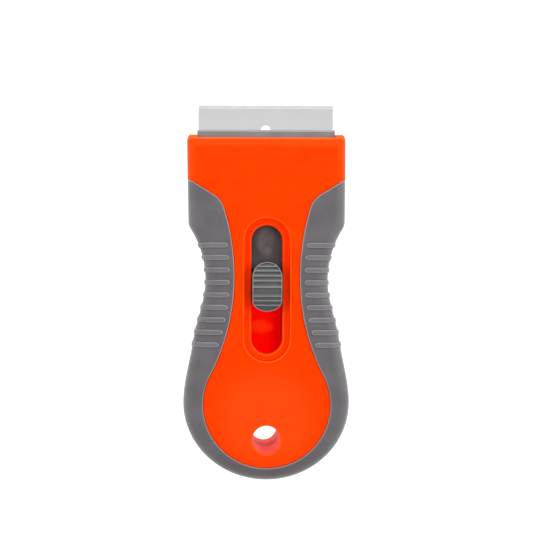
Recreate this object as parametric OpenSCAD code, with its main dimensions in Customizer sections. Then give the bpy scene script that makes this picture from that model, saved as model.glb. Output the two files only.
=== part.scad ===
// Razor blade scraper: a case of two moulded halves with soft side grips, and a blade carriage
// that slides out of its mouth and is locked in three places by a thumb button.
// X runs across the tool, Y along it with the blade at +Y, and Z up through its thickness.
// The origin is under the middle of the tool, on the surface that it lies on.

/* [Blade] */
// Width of the blade along its cutting edge
blade_w = 39; // [34:0.5:48]
// Height of the blade from its folded back to its cutting edge
blade_h = 18.6; // [17.4:0.2:24]
// Thickness of the blade
blade_t = 0.25; // [0.2:0.01:0.4]
// How much narrower the blade is behind its notches, on each side
blade_inset = 0.45; // [0.2:0.05:0.8]
// Height of the hollow-ground face above the cutting edge
ground_h = 6.9; // [5:0.1:8]
// Thickness left where the ground face meets the edge bevel
ground_t = 0.14; // [0.1:0.01:0.18]
// Height of the edge bevel
bevel_h = 0.75; // [0.4:0.05:1.2]
// Width of the slot in the middle of the blade
blade_slot_w = 2.8; // [2.2:0.1:3.6]
// Length of that slot
blade_slot_l = 6.9; // [6:0.1:7.6]
// Distance from the cutting edge to that slot
blade_slot_in = 5.8; // [5:0.1:6.4]
// Width of the notches in the sides of the blade
notch_w = 3.1; // [2.4:0.1:3.6]
// Depth of the notches
notch_l = 3.7; // [3:0.1:4.4]
// Distance from the cutting edge to the middle of the notches
notch_in = 9.4; // [9:0.1:10.4]
// Height of the folded strip on the back of the blade
spine_h = 4; // [3:0.1:4.4]
// Thickness of the folded strip
spine_t = 1.1; // [0.8:0.05:1.4]

/* [Travel] */
// How far the cutting edge stands out of the case at work
blade_reach = 8.9; // [7:0.1:10]
// Slide back from the working place, which covers the edge
retract = 11.2; // [11:0.1:13]
// Slide forward from the working place, to change the blade
advance = 10; // [8:0.1:11]
// Travel of the button when it is pressed
press = 1; // [0.9:0.05:1.3]

/* [Case] */
// Length of the handle behind the blade pocket
handle_len = 74.4; // [70:0.2:90]
// Wall beside the blade pocket
head_wall = 2.65; // [1.8:0.05:3.4]
// How much further in each side of the head is at the shoulder than at the mouth
shoulder_in = 0.65; // [0:0.05:1]
// Wall over and under the blade pocket at the mouth
mouth_wall = 2.9; // [2.4:0.1:3.6]
// Front wall at its highest point, over the button
front_wall = 2.8; // [2.4:0.1:3.6]
// Back wall of the handle
back_wall = 2.2; // [1.8:0.1:3]
// Wall of the handle's sides under the grips
wall = 2; // [1.5:0.1:2.6]
// Rise of the back face from the handle to the mouth
mouth_lift = 2; // [0.5:0.1:3]
// Fall of the front face from its highest point to the tail
tail_drop = 1.2; // [0.4:0.1:2]
// Width of the waist
waist_w = 34.3; // [32:0.1:38]
// Distance from the blade pocket back to the waist
waist_back = 18.4; // [17:0.1:20]
// Radius of the scoop between the head and the waist
scoop_r = 27; // [24:0.5:34]
// Radius of the shoulder at the top of the scoop
shoulder_r = 4; // [3.8:0.1:6]
// Width of the handle at the hip, below the waist
hip_w = 41; // [39:0.1:43]
// Distance from the waist back to the hip
hip_back = 16.7; // [13:0.1:18]
// Width of the handle at its bulge
bulge_w = 46.5; // [45:0.1:52]
// Distance from the bulge back to the end of the tail
tail_len = 21.9; // [20:0.1:25]
// Radius of the edges of the front face
edge_r = 3.6; // [2.6:0.1:3.7]
// Radius of the edges of the back face
back_edge_r = 2.6; // [2:0.1:3.4]
// Depth of the notch in the mouth, between the two ears
mouth_notch = 1.2; // [0.8:0.1:2.4]
// Radius of the notch's rounded lip
lip_r = 2.4; // [1:0.1:2.6]
// Radius of the ears' corners
ear_r = 1; // [0.5:0.1:1.6]
// Diameter of the hang hole
hang_d = 7.8; // [5:0.1:9]
// Distance from the end of the tail to the middle of the hang hole
hang_in = 11.9; // [11:0.1:14]

/* [Grips] */
// Thickness of the soft grips
grip_t = 1.5; // [1:0.1:2]
// How far the grips stand above the front and back faces
grip_proud = 0.3; // [0.1:0.05:0.5]
// Width left bare between the grips at the waist
bare_w = 18; // [17:0.1:20]
// Radius of the bare field's sides ahead of the waist
bare_front_r = 65; // [50:1:76]
// Radius of the bare round field at the tail
field_r = 17.6; // [16:0.1:19]
// Distance from the end of the tail to the middle of that field
field_in = 21.7; // [21:0.1:24]
// Distance from the mouth to the front corners of the grips
grip_start = 12.9; // [11:0.1:15]
// Slope of the front edges of the grips
grip_slope = 32; // [20:1:36]
// Radius of the inner front corners of the grips
grip_corner = 6.4; // [3:0.1:8]
// Number of ribs on each side
rib_count = 9; // [5:1:10]
// Distance from one rib to the next
rib_pitch = 3.43; // [2.8:0.01:3.6]
// Width of a rib
rib_w = 1.25; // [0.8:0.05:1.8]
// Height of a rib
rib_h = 0.4; // [0.2:0.05:0.6]
// Distance from the bare field to the ribs' inner ends
rib_gap = 1.3; // [0.8:0.1:2]

/* [Carriage] */
// Jaw beyond the blade on each side
jaw_side = 0.2; // [0.1:0.05:0.5]
// Jaw behind the blade
jaw_back = 1.7; // [1.4:0.1:2.4]
// Thickness of each jaw
jaw_t = 2.6; // [2.2:0.1:3.2]
// How far the clamp plate stands out of the mouth
jaw_out = 1.5; // [1:0.1:2.4]
// Chamfer along the front of the clamp plate
clamp_chamfer = 0.7; // [0.3:0.05:1.2]
// Width of the tongue
tongue_w = 12; // [11:0.1:12.6]
// Height of the tongue above the plane of the blade
tongue_rise = 4.3; // [4:0.1:5]
// Clearance of the carriage over and under
slide_gap = 0.2; // [0.1:0.05:0.3]
// Clearance of the carriage at its sides
side_gap = 0.3; // [0.15:0.05:0.4]

/* [Button] */
// Width of the button
button_w = 8.2; // [7:0.1:9]
// Length of the button
button_l = 13.7; // [12:0.1:16]
// Length of the button's rounded back end
button_tail = 3.1; // [2.4:0.1:3.6]
// Distance from the jaws back to the middle of the button
button_back = 31.95; // [31:0.05:33]
// How far the button stands above the rim of its slot
button_rise = 2.2; // [1.8:0.1:3]
// Height of the button's crown from its ends to its middle
button_crown = 0.7; // [0.3:0.1:1]
// Flange of the button under the front wall on each side
flange_w = 2; // [1.6:0.1:2.1]
// Length of the flange
flange_l = 6.5; // [5:0.1:8]
// Thickness of the flange
flange_t = 1.1; // [0.8:0.1:1.4]
// Number of ridges on the button
ridge_count = 9; // [5:2:9]
// Distance from one ridge to the next
ridge_pitch = 1.32; // [1.1:0.01:1.36]
// Height of a ridge
ridge_h = 0.45; // [0.3:0.05:0.6]
// Clearance of the button in its slot, all round
slot_gap = 0.18; // [0.12:0.01:0.3]
// Width of the sunk rim round the slot
rim_w = 1.85; // [1:0.05:2.4]
// Depth of the sunk rim at the highest point of the front face
rim_depth = 1.2; // [0.8:0.1:1.4]

/* [Lock] */
// Thickness of the lock spring
spring_t = 0.3; // [0.2:0.02:0.4]
// Width of the lock spring's legs
spring_w = 5; // [3:0.1:5.4]
// Width of a lock tab
tab_w = 2; // [1.4:0.1:2.6]
// Height of a tab inside its notch
tab_catch = 0.7; // [0.5:0.05:0.8]
// Width of a lock rail
rail_w = 1.8; // [1.4:0.1:2.4]

/* [Screws] */
// Diameter of a case screw's shank
screw_d = 2.5; // [2:0.1:3]
// Diameter of its head
screw_head_d = 4.6; // [4:0.1:5]
// Height of its head
screw_head_h = 1.8; // [1.4:0.1:2.2]
// Depth of the screw's seat in the back of the case
screw_seat = 3.4; // [3:0.1:4]
// Length of the shank
screw_len = 9; // [7:0.1:9.6]
// Distance of the front screws from the middle of the tool
screw_front_x = 14.2; // [13:0.1:15]
// Distance of the tail screws from the middle of the tool
screw_tail_x = 11; // [9:0.1:12]

/* [Hidden] */
$fn = 48;

// Small clearances: press gaps of the button, seats of the blade, and threads
press_gap = 0.3;
seat_gap = 0.1;
thread_gap = 0.05;
// Room behind the carriage when it is right back
end_gap = 0.7;
// Extra length of a cutter past the face that it opens
past = 1;
// Wall between the blade pocket and the handle's hollow
bulkhead = 1.8;
// Share of the edge radius that the ears round at the mouth
ear_roll = 0.3;

// Lengths along the tool
pocket_len = blade_h - blade_reach + jaw_back + retract + end_gap;
total_len = handle_len + pocket_len + blade_reach;
tail_y = -total_len / 2;
edge_y = total_len / 2;
mouth_y = edge_y - blade_reach;
pocket_y = mouth_y - pocket_len;
notch_y = mouth_y - mouth_notch;
waist_y = pocket_y - waist_back;
hip_y = waist_y - hip_back;
bulge_y = tail_y + tail_len;
blade_back_y = edge_y - blade_h;
jaw_back_y = blade_back_y - jaw_back;
clamp_front_y = mouth_y + jaw_out;
bed_front_y = clamp_front_y - 0.4;
button_y = jaw_back_y - button_back;
slot_front_y = button_y + button_l / 2 + advance + slot_gap;
// The button's back end is flatter than the slot's, so it stops a little short of it
slot_r = button_w / 2 + slot_gap;
tail_fit = min([for (a = [0:5:90]) sqrt(pow(slot_r - slot_gap / 2, 2) - pow(button_w / 2 * cos(a), 2))
    - button_tail * sin(a)]);
slot_back_y = button_y - button_l / 2 - retract - (slot_r - button_tail - tail_fit);
tongue_back_y = button_y - button_l / 2 + press_gap;
tongue_step_y = button_y - button_l / 2 + button_tail;
tall_front_y = slot_front_y + 0.6;
hang_y = tail_y + hang_in;
field_y = tail_y + field_in;

// Widths across the tool
jaw_hw = blade_w / 2 + jaw_side;
pocket_hw = jaw_hw + side_gap;
head_hw = pocket_hw + head_wall;
shoulder_hw = head_hw - shoulder_in;
waist_hw = waist_w / 2;
hip_hw = hip_w / 2;
bulge_hw = bulge_w / 2;
blade_hw = blade_w / 2 - blade_inset;
tongue_hw = tongue_w / 2;
slot_w = 2 * slot_r;
rail_x = button_w / 2 + flange_w + press_gap + side_gap;

// Heights: the plane of the blade is also where the case halves part
pocket_floor = grip_proud + mouth_lift + mouth_wall;
bed_z = pocket_floor + slide_gap;
part_z = bed_z + jaw_t;
clamp_z = part_z + jaw_t;
pocket_roof = clamp_z + slide_gap;
tongue_z = part_z + tongue_rise;
rail_z = tongue_z + slide_gap;
roof_z = rail_z + press + flange_t + press_gap;
crown_z = roof_z + front_wall;
body_t = crown_z + grip_proud;
mouth_z = pocket_roof + mouth_wall;
rim_z = crown_z - rim_depth;
flange_z = rail_z + press;
ledge_z = bed_z - slide_gap;
crown_y = button_y - 1;
taper_y = pocket_y + 3;

// Height of the grip's front face at a place along the tool
function front_z(y) = y > crown_y
    ? body_t - (crown_z - mouth_z) * pow((y - crown_y) / (mouth_y - crown_y), 2)
    : body_t - tail_drop * pow((y - crown_y) / (tail_y - crown_y), 2);

// Height of the grip's back face at a place along the tool
function back_z(y) = y > taper_y ? mouth_lift * pow((y - taper_y) / (mouth_y - taper_y), 2) : 0;

// Cubic between two stations [y, half width, slope], and its slope
function cubic(a, b, y) = let (h = b[0] - a[0], t = (y - a[0]) / h)
    a[1] * (2 * pow(t, 3) - 3 * t * t + 1) + b[1] * (3 * t * t - 2 * pow(t, 3))
    + h * (a[2] * (pow(t, 3) - 2 * t * t + t) + b[2] * (pow(t, 3) - t * t));
function cubic_slope(a, b, y) = let (h = b[0] - a[0], t = (y - a[0]) / h)
    6 * (b[1] - a[1]) * (t - t * t) / h
    + a[2] * (3 * t * t - 4 * t + 1) + b[2] * (3 * t * t - 2 * t);

// Outline point on a cubic, with its outward normal
function side_point(a, b, y) = let (s = cubic_slope(a, b, y), n = sqrt(1 + s * s))
    [cubic(a, b, y), y, 1 / n, -s / n];

// The shoulder's centre, and the angle at which the shoulder meets the scoop
shoulder_c = let (dx = waist_hw + scoop_r - shoulder_hw + shoulder_r)
    [shoulder_hw - shoulder_r, waist_y + sqrt(pow(scoop_r + shoulder_r, 2) - dx * dx)];
scoop_a = acos((waist_hw + scoop_r - shoulder_c[0]) / (scoop_r + shoulder_r));
hip_station = [hip_y, hip_hw, -0.15];
waist_station = [waist_y, waist_hw, 0];
bulge_station = [bulge_y, bulge_hw, 0];

// Right half of the case outline from the mouth to the tail: points [x, y] with the way in from them
right_side = concat(
    [for (i = [0:2]) let (a = 90 - 45 * i)
        [head_hw + ear_r * (cos(a) - 1), mouth_y + ear_r * (sin(a) - 1), 1, ear_roll]],
    [for (i = [1:5])
        [head_hw - shoulder_in * i / 6, mouth_y - ear_r + (shoulder_c[1] - mouth_y + ear_r) * i / 6, 1, 0]],
    [for (i = [0:3]) let (a = -scoop_a * i / 3)
        [shoulder_c[0] + shoulder_r * cos(a), shoulder_c[1] + shoulder_r * sin(a), cos(a), sin(a)]],
    [for (i = [1:6]) let (a = scoop_a * (1 - i / 6))
        [waist_hw + scoop_r * (1 - cos(a)), waist_y + scoop_r * sin(a), cos(a), -sin(a)]],
    [for (i = [1:5]) side_point(hip_station, waist_station, waist_y - hip_back * i / 5)],
    [for (i = [1:6]) side_point(bulge_station, hip_station, hip_y + (bulge_y - hip_y) * i / 6)],
    [for (i = [1:13]) let (a = 90 * i / 13, nx = cos(a) / bulge_hw, ny = sin(a) / tail_len,
            n = sqrt(nx * nx + ny * ny))
        [bulge_hw * cos(a), bulge_y - tail_len * sin(a), nx / n, -ny / n]]
);
half_n = len(right_side);
outline = concat(right_side, [for (i = [half_n - 2:-1:0]) let (p = right_side[i]) [-p[0], p[1], -p[2], p[3]]]);
outline_n = len(outline);

// Outline point moved in by d
function moved_in(p, d) = [p[0] - d * p[2], p[1] - d * p[3]];

// Faces of a skin of stacked outlines: rings are joined by triangles, and the two ends by strips across
function skin_faces(rings) = concat(
    [for (j = [0:rings - 2], i = [0:outline_n - 1]) let (k = (i + 1) % outline_n)
        [j * outline_n + i, j * outline_n + k, (j + 1) * outline_n + k]],
    [for (j = [0:rings - 2], i = [0:outline_n - 1]) let (k = (i + 1) % outline_n)
        [j * outline_n + i, (j + 1) * outline_n + k, (j + 1) * outline_n + i]],
    [for (i = [0:half_n - 2]) let (b = (rings - 1) * outline_n)
        [b + i, b + i + 1, b + outline_n - 1 - i]],
    [for (i = [0:half_n - 3]) let (b = (rings - 1) * outline_n)
        [b + i + 1, b + outline_n - 2 - i, b + outline_n - 1 - i]],
    [for (i = [0:half_n - 2]) [i + 1, i, outline_n - 1 - i]],
    [for (i = [0:half_n - 3]) [i + 1, outline_n - 1 - i, outline_n - 2 - i]]
);

// Solid from the parting plane to the front face, set in from the outline and sunk under the grip's face
module front_skin(inset, sink) {
    steps = 5;
    rise = [for (i = [0:steps]) 90 * i / steps];
    points = concat(
        [for (p = outline) let (q = moved_in(p, inset)) [q[0], q[1], part_z - past]],
        [for (a = rise, p = outline) let (q = moved_in(p, inset + (edge_r - inset) * (1 - cos(a))))
            [q[0], q[1], front_z(q[1]) - sink - (edge_r - sink) * (1 - sin(a))]]
    );
    polyhedron(points, skin_faces(steps + 2), convexity = 4);
}

// Solid from the back face to the parting plane
module back_skin(inset, sink) {
    steps = 4;
    fall = [for (i = [0:steps]) 90 * (1 - i / steps)];
    points = concat(
        [for (a = fall, p = outline) let (q = moved_in(p, inset + (back_edge_r - inset) * (1 - cos(a))))
            [q[0], q[1], back_z(q[1]) + sink + (back_edge_r - sink) * (1 - sin(a))]],
        [for (p = outline) let (q = moved_in(p, inset)) [q[0], q[1], part_z + past]]
    );
    polyhedron(points, skin_faces(steps + 2), convexity = 4);
}

// Bare field between the grips: a round tail, a drawn-in waist and a head that slopes out to the sides
bare_hw = bare_w / 2;
bare_waist_y = waist_y + 0.8;
bare_fall = bare_waist_y - field_y;
bare_r = (bare_fall * bare_fall + bare_hw * bare_hw - field_r * field_r) / (2 * (field_r - bare_hw));
bare_c = [bare_hw + bare_r, bare_waist_y];
field_a = atan2(bare_fall, bare_c[0]);
field_join_y = field_y + field_r * sin(field_a);
bare_front_c = [bare_hw + bare_front_r, bare_waist_y];
slope_out = [cos(grip_slope), sin(grip_slope)];
slope_in = [sin(grip_slope), -cos(grip_slope)];
slope_p = [head_hw, mouth_y - grip_start];
// The corner's centre lies one radius under the slope and one radius inside the circle ahead of the waist
corner_d = slope_p + grip_corner * slope_in - bare_front_c;
corner_b = corner_d * slope_out;
corner_s = -corner_b - sqrt(corner_b * corner_b - corner_d * corner_d + pow(bare_front_r - grip_corner, 2));
corner_c = slope_p + grip_corner * slope_in + corner_s * slope_out;
corner_a = atan2(corner_c[1] - bare_front_c[1], corner_c[0] - bare_front_c[0]);
bare_side = concat(
    [slope_p + 12 * slope_out],
    [for (i = [0:5]) let (a = 90 + grip_slope + (corner_a - 90 - grip_slope) * i / 5)
        corner_c + grip_corner * [cos(a), sin(a)]],
    [for (i = [1:7]) let (a = corner_a + (180 - corner_a) * i / 7)
        bare_front_c + bare_front_r * [cos(a), sin(a)]],
    [for (i = [1:8]) let (a = 180 + field_a * i / 8) bare_c + bare_r * [cos(a), sin(a)]],
    [for (i = [1:16]) let (a = field_a - (90 + field_a) * i / 16) [0, field_y] + field_r * [cos(a), sin(a)]]
);
bare_n = len(bare_side);

// Half width of the bare field at a place along it, from its round tail to ahead of the waist
function bare_half(y) = y > bare_waist_y
    ? bare_front_c[0] - sqrt(pow(bare_front_r, 2) - pow(y - bare_waist_y, 2))
    : y > field_join_y
    ? bare_c[0] - sqrt(bare_r * bare_r - pow(y - bare_waist_y, 2))
    : sqrt(field_r * field_r - pow(y - field_y, 2));

module bare_field() {
    far_y = edge_y + 10;
    polygon(concat([[bare_side[0][0], far_y]], bare_side,
        [for (i = [bare_n - 2:-1:0]) [-bare_side[i][0], bare_side[i][1]]], [[-bare_side[0][0], far_y]]));
}

module bare_prism() {
    translate([0, 0, -past])
        linear_extrude(body_t + 2 * past) bare_field();
}

// Round-ended slot along Y
module round_slot(w, y0, y1) {
    translate([0, y0 + w / 2]) circle(d = w);
    translate([0, y1 - w / 2]) circle(d = w);
    translate([-w / 2, y0 + w / 2]) square([w, y1 - y0 - w]);
}

// Block from corner to corner
module block(a, b) {
    translate(a) cube(b - a);
}

// Shape drawn in Y and Z, made w wide across the middle of the tool
module across(w) {
    translate([-w / 2, 0, 0]) rotate([90, 0, 90]) linear_extrude(w) children();
}

module both_sides() {
    children();
    mirror([1, 0, 0]) children();
}

// Hollow of the handle, seen from the front
module handle_hollow() {
    difference() {
        intersection() {
            polygon([for (p = outline) moved_in(p, grip_t + wall)]);
            translate([-bulge_w, tail_y]) square([2 * bulge_w, pocket_y - bulkhead - tail_y]);
        }
        translate([0, hang_y]) circle(d = hang_d + 2 * wall);
    }
}

screw_front_y = pocket_y - 4.1;
screw_tail_y = bulge_y + 3.5;
screw_places = [[screw_front_x, screw_front_y], [-screw_front_x, screw_front_y],
    [screw_tail_x, screw_tail_y], [-screw_tail_x, screw_tail_y]];
seat_d = screw_head_d + 4 * seat_gap;
boss_d = screw_d + 3;
seat_boss_d = seat_d + 2.4;

module at_screws() {
    for (p = screw_places) translate([p[0], p[1], 0]) children();
}

// Cut of the mouth's notch on one face, with a rounded lip; z_face is the face and up its direction
module mouth_cut(z_face, up) {
    far_z = z_face + up * 6;
    across(2 * pocket_hw)
        polygon(concat(
            [[mouth_y + past, part_z - up * past], [notch_y, part_z - up * past]],
            [for (i = [0:6]) let (a = 90 * i / 6)
                [notch_y - lip_r * (1 - cos(a)), z_face - up * lip_r * (1 - sin(a))]],
            [[notch_y - lip_r, far_z], [mouth_y + past, far_z]]
        ));
}

module front_shell() {
    lip_z = front_z(notch_y - lip_r) - grip_proud;
    tall_gap = tongue_hw + side_gap;
    color("orangered")
    difference() {
        union() {
            difference() {
                union() {
                    front_skin(grip_t, grip_t);
                    intersection() {
                        front_skin(0, grip_proud);
                        bare_prism();
                    }
                }
                block([-bulge_w, tail_y - past, 0], [bulge_w, edge_y, part_z]);
                translate([0, 0, part_z - past])
                    linear_extrude(roof_z - part_z + past) handle_hollow();
                block([-pocket_hw, pocket_y, part_z - past], [pocket_hw, mouth_y + past, pocket_roof]);
                block([-tall_gap, pocket_y - bulkhead - past, part_z - past],
                    [tall_gap, tall_front_y + 2 + advance + end_gap, rail_z]);
                mouth_cut(lip_z, 1);
            }
            lock_rails();
            at_screws()
                translate([0, 0, part_z]) cylinder(d = boss_d, h = roof_z - part_z + past / 2);
        }
        translate([0, 0, part_z])
            linear_extrude(body_t) round_slot(slot_w, slot_back_y, slot_front_y);
        translate([0, 0, rim_z])
            linear_extrude(body_t) round_slot(slot_w + 2 * rim_w, slot_back_y - rim_w, slot_front_y + rim_w);
        at_screws()
            translate([0, 0, part_z - past])
                cylinder(d = screw_d + 2 * thread_gap, h = screw_seat + screw_len - part_z + past + press_gap);
        translate([0, hang_y, 0]) cylinder(d = hang_d, h = body_t + past);
    }
}

// Two rails under the front wall, each with a notch for every place where the carriage locks
module lock_rails() {
    ends = 3.2;
    notch_half = tab_w / 2 + seat_gap;
    both_sides()
        difference() {
            block([rail_x, button_y - retract - ends, rail_z],
                [rail_x + rail_w, button_y + advance + ends, roof_z + past / 2]);
            for (s = [-retract, 0, advance])
                block([rail_x - past, button_y + s - notch_half, rail_z - past],
                    [rail_x + rail_w + past, button_y + s + notch_half, rail_z + tab_catch + press_gap]);
        }
}

module rear_shell() {
    lip_z = back_z(notch_y - lip_r) + grip_proud;
    color("orangered")
    difference() {
        union() {
            difference() {
                union() {
                    back_skin(grip_t, grip_t);
                    intersection() {
                        back_skin(0, grip_proud);
                        bare_prism();
                    }
                }
                block([-bulge_w, tail_y - past, part_z], [bulge_w, edge_y, body_t]);
                translate([0, 0, back_wall])
                    linear_extrude(part_z - back_wall + past) handle_hollow();
                block([-pocket_hw, pocket_y, pocket_floor], [pocket_hw, mouth_y + past, part_z + past]);
                block([-tongue_hw - side_gap, pocket_y - bulkhead - past, ledge_z],
                    [tongue_hw + side_gap, pocket_y + past, part_z + past]);
                mouth_cut(lip_z, -1);
            }
            carriage_guides();
            at_screws()
                translate([0, 0, back_wall - past / 2]) cylinder(d = seat_boss_d, h = part_z - back_wall + past / 2);
        }
        at_screws()
            translate([0, 0, -past]) cylinder(d = screw_d + 2 * seat_gap, h = part_z + 2 * past);
        at_screws()
            translate([0, 0, -past]) cylinder(d = seat_d, h = screw_seat + past);
        translate([0, hang_y, -past]) cylinder(d = hang_d, h = part_z + 2 * past);
    }
}

// Two stepped guides on the back wall: the tongue slides on their ledges, between their sides
module carriage_guides() {
    side_x = tongue_hw + side_gap;
    ledge_x = slot_w / 2 + 0.6;
    guide_w = 1.3;
    front_y = pocket_y - bulkhead + past / 2;
    both_sides()
        rotate([90, 0, 0])
            translate([0, 0, -front_y])
                linear_extrude(front_y - slot_back_y + past)
                    polygon([[ledge_x, back_wall - past / 2], [side_x + guide_w, back_wall - past / 2],
                        [side_x + guide_w, part_z - slide_gap], [side_x, part_z - slide_gap],
                        [side_x, ledge_z], [ledge_x, ledge_z]]);
}

// Rib bars seen from the front: round inner ends just outside the bare field, open outwards
module rib_bars() {
    first_y = waist_y + 9.8;
    both_sides()
        for (i = [0:rib_count - 1]) let (y = first_y - i * rib_pitch, x = bare_half(y) + rib_gap) {
            translate([x + rib_w / 2, y]) circle(d = rib_w);
            translate([x + rib_w / 2, y - rib_w / 2]) square([bulge_hw, rib_w]);
        }
}

module front_grip() {
    color("dimgray")
    difference() {
        union() {
            front_skin(0, 0);
            intersection() {
                front_skin(-rib_h, -rib_h);
                translate([0, 0, part_z + 0.6]) linear_extrude(body_t) rib_bars();
            }
        }
        front_skin(grip_t, grip_t);
        bare_prism();
        block([-bulge_w, tail_y - past, 0], [bulge_w, edge_y, part_z]);
    }
}

module rear_grip() {
    color("dimgray")
    difference() {
        union() {
            back_skin(0, 0);
            intersection() {
                back_skin(-rib_h, 0);
                translate([0, 0, back_edge_r / 3]) linear_extrude(part_z - 0.6 - back_edge_r / 3) rib_bars();
            }
        }
        back_skin(grip_t, grip_t);
        bare_prism();
        block([-bulge_w, tail_y - past, part_z], [bulge_w, edge_y, body_t]);
        at_screws()
            translate([0, 0, -past]) cylinder(d = seat_d, h = screw_seat + past);
    }
}

// Self-tapping screws, heads in the back of the case: a domed head with a cross recess, and a shank
module case_screws() {
    color("silver")
    at_screws()
        difference() {
            rotate_extrude()
                polygon([[0, screw_seat - screw_head_h], [screw_head_d * 0.3, screw_seat - screw_head_h],
                    [screw_head_d * 0.46, screw_seat - screw_head_h * 0.7], [screw_head_d / 2, screw_seat],
                    [screw_d / 2, screw_seat], [screw_d / 2, screw_seat + screw_len - screw_d / 2],
                    [0, screw_seat + screw_len]]);
            for (a = [0, 90])
                rotate([0, 0, a])
                    block([-screw_head_d * 0.27, -0.35, screw_seat - screw_head_h - past],
                        [screw_head_d * 0.27, 0.35, screw_seat - screw_head_h * 0.4]);
        }
}

seat_z = part_z - blade_t / 2;
press_z = part_z + blade_t / 2;
notch_x = blade_hw - notch_l + notch_w / 2;
stud_w = blade_slot_w - 4 * seat_gap;
pin_d = notch_w - 5 * seat_gap;
stud_back_y = edge_y - blade_slot_in - blade_slot_l + 2 * seat_gap;
stud_h = 1;
lug_w = 4;
lug_x = 12;
well_hw = tongue_hw - 1.5;
leg_hw = spring_w / 2 + press_gap;
foot_hl = 2;
well_front_y = button_y + button_l / 2 - 1.9;
well_back_y = tongue_back_y + 1.5;
well_z = bed_z + 1.8;
crown_top = flange_z - press - press_gap;

// Stud and pins that hold the blade, grown by a clearance where the clamp takes them
module blade_pins(grow, h) {
    linear_extrude(h) round_slot(stud_w + 2 * grow, stud_back_y - grow, bed_front_y - 0.1 + grow);
    both_sides()
        translate([notch_x, edge_y - notch_in, 0]) cylinder(d = pin_d + 2 * grow, h = h);
}

// Lower jaw with a back wall, and a tongue that carries the button
module blade_carriage() {
    lug_gap = 2 * seat_gap;
    color([0.36, 0.35, 0.36])
    difference() {
        union() {
            block([-jaw_hw, jaw_back_y, bed_z], [jaw_hw, bed_front_y, seat_z]);
            block([-jaw_hw, jaw_back_y, bed_z], [jaw_hw, blade_back_y - seat_gap, clamp_z]);
            across(tongue_w)
                polygon([[jaw_back_y + past, bed_z], [tongue_step_y, bed_z], [tongue_step_y, tongue_z],
                    [tall_front_y, tongue_z], [tall_front_y + 2, clamp_z], [jaw_back_y + past, clamp_z]]);
            // Round end of the tongue, under the back end of the button
            translate([0, tongue_step_y, bed_z])
                linear_extrude(tongue_z - bed_z)
                    scale([button_w / 2 - slot_gap, tongue_step_y - tongue_back_y]) circle(r = 1);
            translate([0, 0, seat_z - 0.5]) blade_pins(0, stud_h + 0.5);
        }
        // Groove for the folded back of the blade
        block([-jaw_hw - past, blade_back_y - seat_gap, part_z - spine_t / 2 - seat_gap],
            [jaw_hw + past, blade_back_y + spine_h + seat_gap, part_z + past / 2]);
        // Well of the lock spring, with a gap on each side for its wings
        block([-well_hw, button_y - foot_hl - press_gap, well_z], [well_hw, well_front_y, tongue_z + past]);
        block([-leg_hw, well_back_y, well_z], [leg_hw, well_front_y, tongue_z + past]);
        block([-tongue_w, button_y - tab_w / 2 - press_gap, crown_top - spring_t - press - press_gap],
            [tongue_w, button_y + tab_w / 2 + press_gap, tongue_z + past]);
        // Coring under the tongue
        block([-well_hw, well_front_y + 1.5, bed_z - past], [well_hw, jaw_back_y - 1.5, part_z + 0.6]);
        // Openings for the clamp's lugs, with a ledge for their hooks
        both_sides() {
            block([lug_x - lug_w / 2 - lug_gap, jaw_back_y + 0.4, bed_z - past],
                [lug_x + lug_w / 2 + lug_gap, blade_back_y + past, clamp_z + past]);
            block([lug_x - lug_w / 2 - lug_gap, jaw_back_y + 0.4, bed_z - past],
                [lug_x + lug_w / 2 + lug_gap, blade_back_y + past + 0.8, bed_z + 1]);
        }
    }
}

// Upper jaw: a plate with a chamfered front edge, two hooked lugs behind the blade and pockets for the pins
module blade_clamp() {
    back_y = blade_back_y;
    c = clamp_chamfer;
    color([0.45, 0.45, 0.46])
    difference() {
        union() {
            across(2 * jaw_hw)
                polygon([[back_y, press_z], [clamp_front_y, press_z], [clamp_front_y, clamp_z - c],
                    [clamp_front_y - c, clamp_z], [back_y, clamp_z]]);
            both_sides() clamp_lug();
        }
        // Groove for the folded back of the blade, clear of the lugs
        block([-jaw_hw - past, back_y - seat_gap / 2, part_z - past],
            [jaw_hw + past, back_y + spine_h + seat_gap, part_z + spine_t / 2 + seat_gap]);
        translate([0, 0, part_z]) blade_pins(seat_gap, stud_h + 2 * seat_gap);
    }
}

// A lug goes down behind the blade's back, and its hook turns forward under the lower jaw
module clamp_lug() {
    front_y = blade_back_y - seat_gap;
    translate([lug_x, 0, 0])
        across(lug_w)
            polygon([[blade_back_y + past, clamp_z], [jaw_back_y + 0.6, clamp_z], [jaw_back_y + 0.6, bed_z + 0.2],
                [front_y + 1.2, bed_z + 0.2], [front_y + 1.2, bed_z + 0.5], [front_y, bed_z + 0.9],
                [front_y, part_z + spine_t / 2 + seat_gap], [blade_back_y + past, part_z + spine_t / 2 + seat_gap]]);
}

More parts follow.
